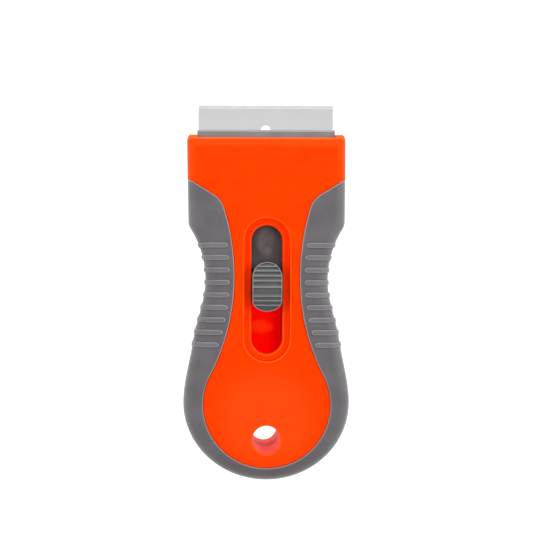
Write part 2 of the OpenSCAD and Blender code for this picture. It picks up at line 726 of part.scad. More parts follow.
// Blade: a wedge section with a hollow-ground face and an edge bevel, slotted and notched
module razor_blade() {
    fold = (spine_t - blade_t) / 2;
    flare = 0.7;
    color("gainsboro")
    difference() {
        across(blade_w)
            polygon([[blade_back_y + fold, -blade_t / 2], [edge_y - ground_h, -blade_t / 2],
                [edge_y - bevel_h, -ground_t / 2], [edge_y, -0.01], [edge_y, 0.01],
                [edge_y - bevel_h, ground_t / 2], [edge_y - ground_h, blade_t / 2],
                [blade_back_y + fold, blade_t / 2]] + [for (i = [1:8]) [0, part_z]]);
        translate([0, 0, part_z - past])
            linear_extrude(2 * past) {
                round_slot(blade_slot_w, edge_y - blade_slot_in - blade_slot_l, edge_y - blade_slot_in);
                both_sides() {
                    translate([notch_x, edge_y - notch_in]) circle(d = notch_w);
                    translate([notch_x, edge_y - notch_in - notch_w / 2]) square([notch_l, notch_w]);
                    translate([blade_hw, edge_y - notch_in])
                        polygon([[-flare, notch_w / 2], [-flare, -notch_w / 2], [past, -notch_w / 2 - flare - past],
                            [past, notch_w / 2 + flare + past]]);
                    translate([blade_hw, blade_back_y - past]) square([past, blade_h - notch_in + past]);
                }
            }
    }
}

// Strip folded over the back of the blade
module blade_spine() {
    color("gray")
    across(2 * blade_hw)
        difference() {
            union() {
                translate([blade_back_y + spine_t / 2, part_z]) circle(d = spine_t);
                translate([blade_back_y + spine_t / 2, part_z - spine_t / 2])
                    square([spine_h - spine_t / 2, spine_t]);
            }
            translate([blade_back_y + (spine_t - blade_t) / 2, part_z - blade_t / 2]) square([spine_h, blade_t]);
        }
}

// Outline of the button: a half-round front end and a flatter, half-oval back end
module button_outline() {
    r = button_w / 2;
    front_y = button_y + button_l / 2 - r;
    back_y = button_y - button_l / 2 + button_tail;
    translate([0, front_y]) circle(r = r);
    polygon(concat([[r, front_y]],
        [for (a = [0:-10:-180]) [r * cos(a), back_y + button_tail * sin(a)]], [[-r, front_y]]));
}

// Height of the button's crown at a place along it, and its ridged profile
function button_top(d) = rim_z + button_rise - button_crown * pow(d / (button_l / 2), 2);
ridge_line = [for (i = [0:ridge_count - 1]) let (d = (i - (ridge_count - 1) / 2) * ridge_pitch)
    each [[d - 0.4, -ridge_h], [d - 0.16, 0], [d + 0.16, 0], [d + 0.4, -ridge_h]]];

// Button: a ridged crown in the slot, a flange under the front wall and a foot on the lock spring
module thumb_button() {
    end = button_l / 2 + past;
    color([0.42, 0.42, 0.43])
    union() {
        intersection() {
            translate([0, 0, flange_z]) linear_extrude(body_t) button_outline();
            across(button_w + past)
                polygon(concat([[button_y - end, flange_z - past], [button_y - end, button_top(end)]],
                    [for (p = ridge_line) [button_y + p[0], button_top(p[0]) + p[1]]],
                    [[button_y + end, button_top(end)], [button_y + end, flange_z - past]]));
        }
        block([-button_w / 2 - flange_w, button_y - flange_l / 2, flange_z],
            [button_w / 2 + flange_w, button_y + flange_l / 2, flange_z + flange_t]);
        block([-well_hw + press_gap, button_y - foot_hl, crown_top],
            [well_hw - press_gap, button_y + foot_hl, flange_z + flange_t / 2]);
    }
}

// Flat strip along a line of points [y, z], t thick
function strip_normal(line, i) = let (a = line[max(i - 1, 0)], b = line[i], c = line[min(i + 1, len(line) - 1)],
        u = i > 0 ? (b - a) / norm(b - a) : (c - b) / norm(c - b),
        v = i < len(line) - 1 ? (c - b) / norm(c - b) : u,
        n = [-(u[1] + v[1]), u[0] + v[0]])
    n / norm(n) / max(0.5, norm(u + v) / 2);
function strip(line, t) = concat(
    [for (i = [0:len(line) - 1]) line[i] + strip_normal(line, i) * t / 2],
    [for (i = [len(line) - 1:-1:0]) line[i] - strip_normal(line, i) * t / 2]);

// Lock spring: a crown under the button's foot, two legs on the floor of the well and two tabs in the rails
module lock_spring() {
    mid_z = crown_top - spring_t / 2;
    foot_z = well_z + spring_t / 2;
    foot_y = min(button_y - well_back_y, well_front_y - button_y) - 2 * press_gap;
    legs = [for (p = [[-foot_y, 0.5], [-foot_y + 0.5, 0.08], [-foot_y + 1, 0.5], [-2.2, mid_z - foot_z - 0.2],
        [-1.4, mid_z - foot_z], [1.4, mid_z - foot_z], [2.2, mid_z - foot_z - 0.2], [foot_y - 1, 0.5],
        [foot_y - 0.5, 0.08], [foot_y, 0.5]]) [button_y + p[0], foot_z + p[1]]];
    tab_x = rail_x + rail_w / 2;
    color("lightgray")
    union() {
        across(spring_w) polygon(strip(legs, spring_t));
        block([-tab_x - spring_t / 2, button_y - tab_w / 2, crown_top - spring_t],
            [tab_x + spring_t / 2, button_y + tab_w / 2, crown_top]);
        both_sides()
            block([tab_x - spring_t / 2, button_y - tab_w / 2, crown_top - spring_t / 2],
                [tab_x + spring_t / 2, button_y + tab_w / 2, rail_z + tab_catch]);
    }
}

front_shell();
rear_shell();
front_grip();
rear_grip();
case_screws();
blade_carriage();
blade_clamp();
razor_blade();
blade_spine();
thumb_button();
lock_spring();
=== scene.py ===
# %% [markdown]
# # Razor blade scraper
# The real tool is two moulded case halves with soft grips, and a blade carriage that slides in them.
# The CAD frame already holds every piece at its true size and place. This lesson gives the pieces their
# looks: smooth mouldings where the CAD surface is faceted, rounded edges where it is sharp, and a material
# for each. Lengths are in millimetres until a piece is finished, because a maker thinks in them.

# %% Load the frame
import math

import bmesh
import bpy
import numpy as np
from mathutils import Matrix, Vector


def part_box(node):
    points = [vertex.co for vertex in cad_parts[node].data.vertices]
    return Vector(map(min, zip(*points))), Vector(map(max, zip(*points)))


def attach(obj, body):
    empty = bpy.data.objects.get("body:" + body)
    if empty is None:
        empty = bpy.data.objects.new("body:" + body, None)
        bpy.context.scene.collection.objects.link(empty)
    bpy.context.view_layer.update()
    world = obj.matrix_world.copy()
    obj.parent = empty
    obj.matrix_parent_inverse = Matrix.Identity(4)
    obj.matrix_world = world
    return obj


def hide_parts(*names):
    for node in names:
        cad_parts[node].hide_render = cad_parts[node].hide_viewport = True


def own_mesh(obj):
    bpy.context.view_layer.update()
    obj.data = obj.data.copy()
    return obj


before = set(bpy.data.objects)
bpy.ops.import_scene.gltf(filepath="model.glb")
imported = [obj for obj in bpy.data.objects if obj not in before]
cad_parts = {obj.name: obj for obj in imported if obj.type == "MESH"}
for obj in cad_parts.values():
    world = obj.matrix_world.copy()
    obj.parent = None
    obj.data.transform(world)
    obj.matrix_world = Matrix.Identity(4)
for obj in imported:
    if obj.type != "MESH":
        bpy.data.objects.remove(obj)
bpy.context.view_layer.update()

scene = bpy.context.scene

# %% [markdown]
# ## The camera
# The tool was photographed from above, lying on its back with the blade up in the picture. A camera with
# no rotation already looks down, with +Y up. It could be matched by eye, but two things in the picture
# measure it: the blade gives the scale, and the view into the hang hole gives the camera's height. The hole
# also shows that the camera stood a little to the left, so the frame is shifted back over the tool.

# %% Camera
IMAGE_PX, FOCAL_PX, MIDDLE_PX = 533, 664, 226.2
CAMERA_PLACE, CAMERA_TURN = (-0.0113, 0.0066, 0.2005), math.radians(0.2)
camera_data = bpy.data.cameras.new("overhead_camera")
camera_data.sensor_width = 36
camera_data.lens = camera_data.sensor_width * FOCAL_PX / IMAGE_PX
camera_data.shift_x = 0.5 - MIDDLE_PX / IMAGE_PX
camera_data.clip_start = 0.01
camera = bpy.data.objects.new("overhead_camera", camera_data)
camera.location = CAMERA_PLACE
camera.rotation_euler = (0, 0, CAMERA_TURN)
scene.collection.objects.link(camera)
scene.camera = camera
print("camera", round(camera.location.z * 1000, 1), "mm up, lens", round(camera_data.lens, 2), "mm")

# %% [markdown]
# ## Floor and light
# The picture is lit softly from all round on a white light table, so there is hardly a shadow and the
# orange plastic glows inside. A ring of lamps could do that, but a world that is brighter at the horizon
# than overhead is more even, and it lifts the rounded edges. Lamps at both sides, the right one stronger,
# and one at the blade's end add to it, and a wide lamp overhead gives the steel something to reflect.
# Diffuse light may bounce ten times, because what comes out of a deep orange slot has met the plastic
# again and again.

# %% Soft light
scene.view_settings.view_transform = "Standard"
scene.cycles.diffuse_bounces = 10
scene.cycles.max_bounces = 16
HORIZON, ZENITH = 0.95, 0.42
FADE_START, FADE_END = 0.35, 0.95


def studio_world():
    """White world that darkens from the horizon to the zenith."""
    made = bpy.data.worlds.new("white_studio")
    made.use_nodes = True
    nodes, links = made.node_tree.nodes, made.node_tree.links
    direction = nodes.new("ShaderNodeTexCoord")
    axes = nodes.new("ShaderNodeSeparateXYZ")
    fade = nodes.new("ShaderNodeMapRange")
    fade.inputs["From Min"].default_value = FADE_START
    fade.inputs["From Max"].default_value = FADE_END
    fade.inputs["To Min"].default_value = HORIZON
    fade.inputs["To Max"].default_value = ZENITH
    links.new(direction.outputs["Generated"], axes.inputs["Vector"])
    links.new(axes.outputs["Z"], fade.inputs["Value"])
    links.new(fade.outputs["Result"], nodes["Background"].inputs["Strength"])
    nodes["Background"].inputs["Color"].default_value = (1, 1, 1, 1)
    return made


def soft_lamp(name, place, size, watts):
    """Square area lamp that points at the middle of the tool."""
    data = bpy.data.lights.new(name, "AREA")
    data.size = size
    data.energy = watts
    lamp = bpy.data.objects.new(name, data)
    lamp.location = place
    lamp.rotation_euler = (-Vector(place)).to_track_quat("-Z", "Y").to_euler()
    scene.collection.objects.link(lamp)
    return lamp


scene.world = studio_world()
soft_lamp("lamp_left", (-0.46, 0.06, 0.28), 0.26, 0.60)
soft_lamp("lamp_right", (0.46, 0.00, 0.28), 0.26, 0.95)
soft_lamp("lamp_blade_end", (0.05, 0.50, 0.30), 0.28, 1.0)
soft_lamp("lamp_overhead", (0.0, 0.0, 0.60), 0.42, 0.30)

# %% Light table
FLOOR_HALF, FLOOR_SINK = 3, 0.00003
FLOOR_GREY, FLOOR_GLOW = 0.16, 1.15


def light_table():
    """Pale floor that is lit from below as well as from above."""
    mesh = bpy.data.meshes.new("pale_floor")
    corners = ((-1, -1), (1, -1), (1, 1), (-1, 1))
    mesh.from_pydata([(x * FLOOR_HALF, y * FLOOR_HALF, -FLOOR_SINK) for x, y in corners], [], [(0, 1, 2, 3)])
    paint = bpy.data.materials.new("pale_floor")
    paint.use_nodes = True
    shader = paint.node_tree.nodes["Principled BSDF"]
    shader.inputs["Base Color"].default_value = (FLOOR_GREY, FLOOR_GREY, FLOOR_GREY, 1)
    shader.inputs["Roughness"].default_value = 0.9
    shader.inputs["Specular IOR Level"].default_value = 0.0
    shader.inputs["Emission Color"].default_value = (1, 1, 1, 1)
    shader.inputs["Emission Strength"].default_value = FLOOR_GLOW
    mesh.materials.append(paint)
    made = bpy.data.objects.new("pale_floor", mesh)
    scene.collection.objects.link(made)
    return made


floor = light_table()
print("floor", floor.name, 2 * FLOOR_HALF, "m wide")

# %% [markdown]
# ## From numbers to a solid
# A moulded case could be sculpted with subdivision surfaces, but then its sizes drift from the CAD. Here the
# mouldings are stacks of outlines, cut with other stacks by exact booleans. A stack that flares near its
# top leaves a rounded edge where it cuts, which is how a toolmaker puts a radius on an edge. A piece is
# brought to metres at the end, so its object stays at the origin with its place in its mesh.

# %% Solids from outlines
MM = 0.001


def solid(name, points, faces):
    """Closed mesh in millimetres, turned so that its faces point outwards."""
    mesh = bpy.data.meshes.new(name)
    mesh.from_pydata([tuple(p) for p in points], [], faces)
    work = bmesh.new()
    work.from_mesh(mesh)
    if work.calc_volume(signed=True) < 0:
        bmesh.ops.reverse_faces(work, faces=work.faces)
    work.to_mesh(mesh)
    work.free()
    obj = bpy.data.objects.new(name, mesh)
    scene.collection.objects.link(obj)
    return obj


def ring_faces(rings, n):
    """Quads between stacked rings of n points."""
    return [(j * n + i, j * n + (i + 1) % n, (j + 1) * n + (i + 1) % n, (j + 1) * n + i)
            for j in range(rings - 1) for i in range(n)]


def stack(name, rings):
    """Solid of stacked rings with a flat cap at each end."""
    n = len(rings[0])
    last = (len(rings) - 1) * n
    caps = [tuple(range(n - 1, -1, -1)), tuple(range(last, last + n))]
    return solid(name, np.concatenate(rings), ring_faces(len(rings), n) + caps)


def level(outline, z):
    """Outline in plan, lifted to one height."""
    return np.column_stack([outline, np.full(len(outline), z)])


def prism(name, outline, z0, z1):
    """Outline in plan, raised from one height to another."""
    return stack(name, [level(np.asarray(outline, float), z0), level(np.asarray(outline, float), z1)])


def block(name, low, high):
    """Box between two corners."""
    corners = [(low[0], low[1]), (high[0], low[1]), (high[0], high[1]), (low[0], high[1])]
    return prism(name, corners, low[2], high[2])


def bar_across(name, profile, x0, x1):
    """Profile drawn in Y and Z, extruded along X."""
    side = [np.array([(x, y, z) for y, z in profile]) for x in (x0, x1)]
    return stack(name, side)


def disc(radius, centre, n=64):
    """Circle in plan, as n points."""
    a = np.arange(n) * 2 * math.pi / n
    return np.column_stack([centre[0] + radius * np.cos(a), centre[1] + radius * np.sin(a)])


print("solids are drawn at", round(1 / MM), "units to the metre")

# %% Cutting, shading and handing over
SMOOTH_CREASE = 34


def apply_modifiers(body):
    """Work the modifiers into the mesh."""
    fresh = bpy.data.meshes.new_from_object(body.evaluated_get(bpy.context.evaluated_depsgraph_get()))
    body.modifiers.clear()
    old, body.data = body.data, fresh
    bpy.data.meshes.remove(old)


def cut(body, tool, how="DIFFERENCE"):
    """Exact boolean: the body is changed and the tool is used up."""
    step = body.modifiers.new("cut", "BOOLEAN")
    step.operation, step.object, step.solver = how, tool, "EXACT"
    apply_modifiers(body)
    bpy.data.objects.remove(tool)


def smooth_shading(body, crease=SMOOTH_CREASE):
    """Smooth normals that follow the large faces, with an edge where the surface turns past the crease."""
    body.data.shade_smooth()
    body.data.set_sharp_from_angle(angle=math.radians(crease))
    step = body.modifiers.new("normals", "WEIGHTED_NORMAL")
    step.keep_sharp = True
    apply_modifiers(body)


def to_metres(body):
    """Shrink a mesh from millimetres to the scene's metres."""
    body.data.transform(Matrix.Scale(MM, 4))
    body.data.update()


def hand_over(body, body_name, slot, *nodes):
    """The finished piece stands for these CAD nodes and moves with their body."""
    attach(body, body_name)
    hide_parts(*nodes)
    print(body.name, len(body.data.polygons), "faces, stands for", ", ".join(nodes))


print("edges stay sharp past", SMOOTH_CREASE, "degrees")

# %% [markdown]
# ## The outline of the case
# Seen from the front, the case has straight sides at the head, a scoop down to the waist, a smooth hip and a
# round tail. It could be traced by hand as a Bezier curve. Arcs and cubics from a few named sizes are truer,
# because they give the same outline as the CAD source, in finer steps. Each point also carries the way in
# from it, so that an edge can be rounded by moving the outline in while it rises.

# %% Case outline
HEAD_HALF, SHOULDER_IN, MOUTH_Y = 22.65, 0.65, 44.4
EAR_X, EAR_Y, EAR_LEAN, LEAN_RUN = 1.15, 2.2, 0.3, 5
WAIST_HALF, WAIST_Y, SCOOP_R, SHOULDER_R = 17.15, 2.7, 27.0, 4.0
HIP, WAIST, BULGE = (-14.0, 20.5, -0.15), (WAIST_Y, WAIST_HALF, 0.0), (-31.4, 23.25, 0.0)
TAIL_LEN = 21.9
SHOULDER_X = HEAD_HALF - SHOULDER_IN - SHOULDER_R
SHOULDER_Y = WAIST_Y + math.sqrt((SCOOP_R + SHOULDER_R) ** 2 - (WAIST_HALF + SCOOP_R - SHOULDER_X) ** 2)
SCOOP_ANGLE = math.acos((WAIST_HALF + SCOOP_R - SHOULDER_X) / (SCOOP_R + SHOULDER_R))


def head_half(y):
    """Half width of the head, whose sides draw in a little from the mouth to the shoulder."""
    return HEAD_HALF - SHOULDER_IN * np.clip((MOUTH_Y - 1 - y) / (MOUTH_Y - 1 - SHOULDER_Y), 0, 1)


def side_cubic(a, b, ys):
    """Half width between two stations (place, half width, slope), as points with the way in."""
    h = b[0] - a[0]
    t = (ys - a[0]) / h
    x = (a[1] * (2 * t**3 - 3 * t**2 + 1) + b[1] * (3 * t**2 - 2 * t**3)
         + h * (a[2] * (t**3 - 2 * t**2 + t) + b[2] * (t**3 - t**2)))
    slope = 6 * (b[1] - a[1]) * (t - t**2) / h + a[2] * (3 * t**2 - 4 * t + 1) + b[2] * (3 * t**2 - 2 * t)
    n = np.sqrt(1 + slope**2)
    return np.column_stack([x, ys, 1 / n, -slope / n])


def case_side():
    """Right side of the case from the mouth to the end of the tail: x, y and the way in."""
    a = np.radians(np.linspace(90, 0, 13))
    y = MOUTH_Y + EAR_Y * (np.sin(a) - 1)
    x = head_half(y) + EAR_X * (np.cos(a) - 1)
    ear = np.column_stack([x, y, np.ones_like(y), np.full_like(y, EAR_LEAN)])
    y = np.linspace(MOUTH_Y - EAR_Y, SHOULDER_Y, 30)[1:-1]
    lean = EAR_LEAN * np.clip(1 - (MOUTH_Y - EAR_Y - y) / LEAN_RUN, 0, 1)
    straight = np.column_stack([head_half(y), y, np.ones_like(y), lean])
    a = -SCOOP_ANGLE * np.linspace(0, 1, 12)
    shoulder = np.column_stack([SHOULDER_X + SHOULDER_R * np.cos(a), SHOULDER_Y + SHOULDER_R * np.sin(a),
                                np.cos(a), np.sin(a)])
    a = SCOOP_ANGLE * np.linspace(1, 0, 25)[1:]
    scoop = np.column_stack([WAIST_HALF + SCOOP_R * (1 - np.cos(a)), WAIST_Y + SCOOP_R * np.sin(a),
                             np.cos(a), -np.sin(a)])
    hip = side_cubic(HIP, WAIST, np.linspace(WAIST_Y, HIP[0], 23)[1:])
    bulge = side_cubic(BULGE, HIP, np.linspace(HIP[0], BULGE[0], 25)[1:])
    a = np.radians(np.linspace(0, 90, 53)[1:])
    n = np.column_stack([np.cos(a) / BULGE[1], np.sin(a) / TAIL_LEN])
    n /= np.linalg.norm(n, axis=1)[:, None]
    tail = np.column_stack([BULGE[1] * np.cos(a), BULGE[0] - TAIL_LEN * np.sin(a), n[:, 0], -n[:, 1]])
    return np.concatenate([ear, straight, shoulder, scoop, hip, bulge, tail])


SIDE = case_side()
SIDE[-1, 0] = 0
HALF_N = len(SIDE)
CASE = np.concatenate([SIDE, SIDE[-2::-1] * [-1, 1, -1, 1]])
CASE_N = len(CASE)


def case_moved_in(d):
    """Outline in plan, moved in by a distance."""
    return CASE[:, :2] - d * CASE[:, 2:]


print("outline of", CASE_N, "points,", round(2 * CASE[:, 0].max(), 2), "mm wide")

# %% [markdown]
# ## Skins of the two halves
# The front face falls from its crown under the thumb towards the mouth and the tail, and the back face rises
# a little at the mouth. One thickened surface could give such a half, but not the large round where the face
# meets the side. So a skin stacks the outline from the parting plane up to the face and rolls it in over the
# edge radius. The grip, the orange field and the core under the grip are this skin at different depths.

# %% Face heights and skins
PART_Z, BODY_T, CROWN_Y, TAIL_Y = 8.0, 18.0, 0.05, -53.3
FRONT_FALL, TAIL_DROP = 4.0, 1.2
TAPER_Y, MOUTH_LIFT = 24.1, 2.0
EDGE_R, BACK_EDGE_R = 3.6, 2.6
GRIP_T, GRIP_PROUD = 1.5, 0.3
PARTING, FOOT = 0.13, 0.1


def front_z(y):
    """Height of the front face at a place along the case."""
    return np.where(y > CROWN_Y, BODY_T - FRONT_FALL * ((y - CROWN_Y) / (MOUTH_Y - CROWN_Y)) ** 2,
                    BODY_T - TAIL_DROP * ((y - CROWN_Y) / (TAIL_Y - CROWN_Y)) ** 2)


def back_z(y):
    """Height of the back face at a place along the case."""
    return np.where(y > TAPER_Y, MOUTH_LIFT * ((y - TAPER_Y) / (MOUTH_Y - TAPER_Y)) ** 2, 0)


def mirrored_cap(pairs):
    """Strips from side to side between the right and left points of a mirrored outline."""
    faces = []
    for (r0, l0), (r1, l1) in zip(pairs, pairs[1:]):
        faces.append(tuple(dict.fromkeys((r0, r1, l1, l0))))
    return faces


def mirrored_stack(name, rings, pairs):
    """Stack of mirrored outlines whose two ends are closed by strips from side to side."""
    n = len(rings[0])
    top = (len(rings) - 1) * n
    low_cap = [face[::-1] for face in mirrored_cap(pairs)]
    top_cap = mirrored_cap([(r + top, l + top) for r, l in pairs])
    return solid(name, np.concatenate(rings), ring_faces(len(rings), n) + low_cap + top_cap)


def skin(name, rings):
    """Closed solid from rings that all follow the case outline."""
    return mirrored_stack(name, rings, [(i, CASE_N - 1 - i) for i in range(HALF_N)])


def front_skin(name, inset, sink, low=PART_Z, steps=14):
    """Front half, with its side moved in and its face sunk. It has a parting chamfer only at the parting."""
    groove = PARTING if low == PART_Z else 0
    foot = low + max(groove, FOOT)
    rings = [level(case_moved_in(inset + groove), low), level(case_moved_in(inset), foot)]
    for a in np.radians(np.linspace(0, 90, steps + 1)):
        plan = case_moved_in(inset + (EDGE_R - inset) * (1 - math.cos(a)))
        z = front_z(plan[:, 1]) - sink - (EDGE_R - sink) * (1 - math.sin(a))
        rings.append(np.column_stack([plan, z]))
    return skin(name, rings)


def back_skin(name, inset, sink, high=PART_Z, steps=12):
    """Back half, made in the same way from the parting down to the back face."""
    groove = PARTING if high == PART_Z else 0
    foot = high - max(groove, FOOT)
    rings = [level(case_moved_in(inset + groove), high), level(case_moved_in(inset), foot)]
    for a in np.radians(np.linspace(0, 90, steps + 1)):
        plan = case_moved_in(inset + (BACK_EDGE_R - inset) * (1 - math.cos(a)))
        z = back_z(plan[:, 1]) + sink + (BACK_EDGE_R - sink) * (1 - math.sin(a))
        rings.append(np.column_stack([plan, z]))
    return skin(name, rings)


print("front face from", round(float(front_z(np.array(MOUTH_Y))), 2), "to", BODY_T, "mm")

# %% [markdown]
# ## The line between orange and grey
# The orange field widens to the sides at the head, is drawn in at the waist and ends in a round field at the
# tail. It could be marked on the skin as a colour, but on the real tool the two plastics meet in a step. So
# one closed line bounds the field, and moved out step by step as it rises, it cuts the grips' rounded lip.

# %% Trim line
BARE_HALF, BARE_FRONT_R, BARE_WAIST_Y = 9.0, 65.0, 3.5
FIELD_Y, FIELD_R = -31.6, 17.6
FIELD_FALL = BARE_WAIST_Y - FIELD_Y
BARE_BACK_R = (FIELD_FALL**2 + BARE_HALF**2 - FIELD_R**2) / (2 * (FIELD_R - BARE_HALF))
GRIP_START, GRIP_SLOPE, GRIP_CORNER = 12.9, math.radians(32), 6.4
PAST_SIDE, PAST_MOUTH_Y = 9, 62.0


def trim_line():
    """Closed line round the orange field, clockwise from its far right corner."""
    back_c = np.array([BARE_HALF + BARE_BACK_R, BARE_WAIST_Y])
    front_c = np.array([BARE_HALF + BARE_FRONT_R, BARE_WAIST_Y])
    field_a = math.atan2(FIELD_FALL, back_c[0])
    out = np.array([math.cos(GRIP_SLOPE), math.sin(GRIP_SLOPE)])
    inward = np.array([math.sin(GRIP_SLOPE), -math.cos(GRIP_SLOPE)])
    start = np.array([HEAD_HALF, MOUTH_Y - GRIP_START])
    d = start + GRIP_CORNER * inward - front_c
    b = d @ out
    run = b + math.sqrt(b * b - d @ d + (BARE_FRONT_R - GRIP_CORNER) ** 2)
    corner = start + GRIP_CORNER * inward - out * run
    corner_a = math.atan2(corner[1] - front_c[1], corner[0] - front_c[0])

    def arc(centre, r, a0, a1, n):
        a = np.linspace(a0, a1, n + 1)
        return np.column_stack([centre[0] + r * np.cos(a), centre[1] + r * np.sin(a)])

    corner_arc = arc(corner, GRIP_CORNER, math.pi / 2 + GRIP_SLOPE, corner_a, 14)
    slope = [start + s * out for s in np.linspace(PAST_SIDE, 0, 6)]
    slope += [start + s * (corner_arc[0] - start) for s in np.linspace(0, 1, 18)[1:-1]]
    side = np.concatenate([slope, corner_arc, arc(front_c, BARE_FRONT_R, corner_a, math.pi, 24)[1:],
                           arc(back_c, BARE_BACK_R, math.pi, math.pi + field_a, 24)[1:],
                           arc((0, FIELD_Y), FIELD_R, field_a, -math.pi / 2, 48)[1:]])
    far = (side[0, 0], PAST_MOUTH_Y)
    return np.concatenate([[far], side, side[-2::-1] * [-1, 1], [(-far[0], far[1])]])


TRIM = trim_line()
ahead, behind = np.roll(TRIM, -1, 0), np.roll(TRIM, 1, 0)
along = ahead - behind
TRIM_OUT = np.column_stack([-along[:, 1], along[:, 0]]) / np.linalg.norm(along, axis=1)[:, None]


def trim_moved(d):
    """Trim line moved out by d, over the grips."""
    return TRIM + d * TRIM_OUT


def roll_drop(plan, radius):
    """How far the rounded edge of the head has fallen below the face at these points."""
    inside = np.clip(head_half(plan[:, 1]) - np.abs(plan[:, 0]), 0, radius)
    return np.where(plan[:, 1] > SHOULDER_Y, radius - np.sqrt(radius**2 - (radius - inside) ** 2), 0)


def distance_to(line, plan):
    """Distance from points in plan to a closed line."""
    a, b = line, np.roll(line, -1, 0)
    best = np.full(len(plan), 1e9)
    for start, end in zip(a, b):
        run = end - start
        t = np.clip((plan - start) @ run / max(run @ run, 1e-12), 0, 1)
        best = np.minimum(best, np.linalg.norm(plan - start - t[:, None] * run, axis=1))
    return best


print("trim line of", len(TRIM), "points, waist", 2 * BARE_HALF, "mm wide")

# %% [markdown]
# ## Orange plastic
# The case is moulded in bright orange plastic with a satin surface. A picture of plastic could be wrapped on
# it, but noise on Object coordinates needs no unwrapping and keeps its scale on every piece: slow drifts of
# tone from the melt, and the fine grain of the mould steel in both roughness and bump. Edges that catch the
# light get painted highlights, and deep places get painted shade, redder, as light there would have met the
# plastic more than once. Both are stored on the mesh as attributes, because a mesh knows where its own
# edges are and a pattern in space doesn't.

# %% Material helpers


def material(name):
    """New material with its nodes, its links and its shader at hand."""
    made = bpy.data.materials.new(name)
    made.use_nodes = True
    return made, made.node_tree.nodes, made.node_tree.links, made.node_tree.nodes["Principled BSDF"]


def noise(nodes, links, scale, detail=3.0, stretch=None):
    """Noise on Object coordinates, in features per metre, stretched along an axis if asked."""
    coordinates = nodes.new("ShaderNodeTexCoord")
    pattern = nodes.new("ShaderNodeTexNoise")
    pattern.inputs["Scale"].default_value = scale
    pattern.inputs["Detail"].default_value = detail
    source = coordinates.outputs["Object"]
    if stretch:
        mapping = nodes.new("ShaderNodeMapping")
        mapping.inputs["Scale"].default_value = stretch
        links.new(source, mapping.inputs["Vector"])
        source = mapping.outputs["Vector"]
    links.new(source, pattern.inputs["Vector"])
    return pattern.outputs["Fac"]


def ramp(nodes, links, factor, stops):
    """Colours along a factor: a list of (place, colour)."""
    made = nodes.new("ShaderNodeValToRGB")
    while len(made.color_ramp.elements) < len(stops):
        made.color_ramp.elements.new(0.5)
    for element, (place, colour) in zip(made.color_ramp.elements, stops):
        element.position = place
        element.color = (*colour, 1)
    links.new(factor, made.inputs["Fac"])
    return made.outputs["Color"]


def spread(nodes, links, factor, low, high):
    """Noise between 0.3 and 0.7 spread over a range."""
    made = nodes.new("ShaderNodeMapRange")
    made.inputs["From Min"].default_value = 0.3
    made.inputs["From Max"].default_value = 0.7
    made.inputs["To Min"].default_value = low
    made.inputs["To Max"].default_value = high
    links.new(factor, made.inputs["Value"])
    return made.outputs["Result"]


def grain(nodes, links, shader, height, depth, strength):
    """Bump of a given depth, in metres."""
    made = nodes.new("ShaderNodeBump")
    made.inputs["Distance"].default_value = depth
    made.inputs["Strength"].default_value = strength
    links.new(height, made.inputs["Height"])
    links.new(made.outputs["Normal"], shader.inputs["Normal"])


def toward(nodes, links, colour, target, attribute, most):
    """Colour that moves towards a target where the mesh's attribute says so."""
    stored = nodes.new("ShaderNodeAttribute")
    stored.attribute_name = attribute
    share = nodes.new("ShaderNodeMath")
    share.operation, share.use_clamp = "MULTIPLY", True
    share.inputs[1].default_value = most
    mix = nodes.new("ShaderNodeMix")
    mix.data_type = "RGBA"
    links.new(stored.outputs["Fac"], share.inputs[0])
    links.new(share.outputs["Value"], mix.inputs["Factor"])
    links.new(colour, mix.inputs["A"])
    mix.inputs["B"].default_value = (*target, 1)
    return mix.outputs["Result"]


print("patterns are counted in features per metre")

# %% Moulded plastic
MELT_SCALE, HIGHLIGHT_MOST, SHADE_MOST = 160, 0.85, 0.9


def moulded(name, dark, light, worn, deep, rough, fine, depth, specular):
    """Moulded plastic: two close tones, painted highlights and shade, and a grain that roughness follows."""
    made, nodes, links, shader = material(name)
    tone = noise(nodes, links, MELT_SCALE, 4)
    colour = ramp(nodes, links, tone, [(0.35, dark), (0.65, light)])
    colour = toward(nodes, links, colour, worn, "painted_highlight", HIGHLIGHT_MOST)
    colour = toward(nodes, links, colour, deep, "deep", SHADE_MOST)
    links.new(colour, shader.inputs["Base Color"])
    texture = noise(nodes, links, fine, 2)
    links.new(spread(nodes, links, texture, rough - 0.05, rough + 0.05), shader.inputs["Roughness"])
    shader.inputs["Specular IOR Level"].default_value = specular
    grain(nodes, links, shader, texture, depth, 0.35)
    return made


def store(body, attribute, values):
    """Keep one number for each face of the mesh, so that a line of wear has a clean edge."""
    layer = body.data.attributes.new(attribute, "FLOAT", "FACE")
    layer.data.foreach_set("value", np.clip(values, 0, 1).astype(np.float32))


def middles_of(body):
    """Middle of each face, in the mesh's own units."""
    flat = np.empty(3 * len(body.data.polygons), dtype=np.float32)
    body.data.polygons.foreach_get("center", flat)
    return flat.reshape(-1, 3).astype(float)


def narrow_faces(body, most):
    """Which faces are no larger than an area: the strips of rounded edges, not the wide faces beside them."""
    areas = np.empty(len(body.data.polygons), dtype=np.float32)
    body.data.polygons.foreach_get("area", areas)
    return areas < most


# Painted highlights on edges and painted shade in deep places blend in by these shares.
print("worn edges blend by up to", HIGHLIGHT_MOST, "and deep places by up to", SHADE_MOST)

# %% Orange plastic
ORANGE_TONES = (0.95, 0.046, 0.0004), (0.98, 0.052, 0.0006)
HIGHLIGHT_ORANGE, SHADE_ORANGE = (1.0, 0.150, 0.014), (0.99, 0.012, 0.0004)
LIGHT_SPREAD, ORANGE_GLEAM = (1.0, 0.12, 0.03), (1.0, 0.30, 0.04, 1)


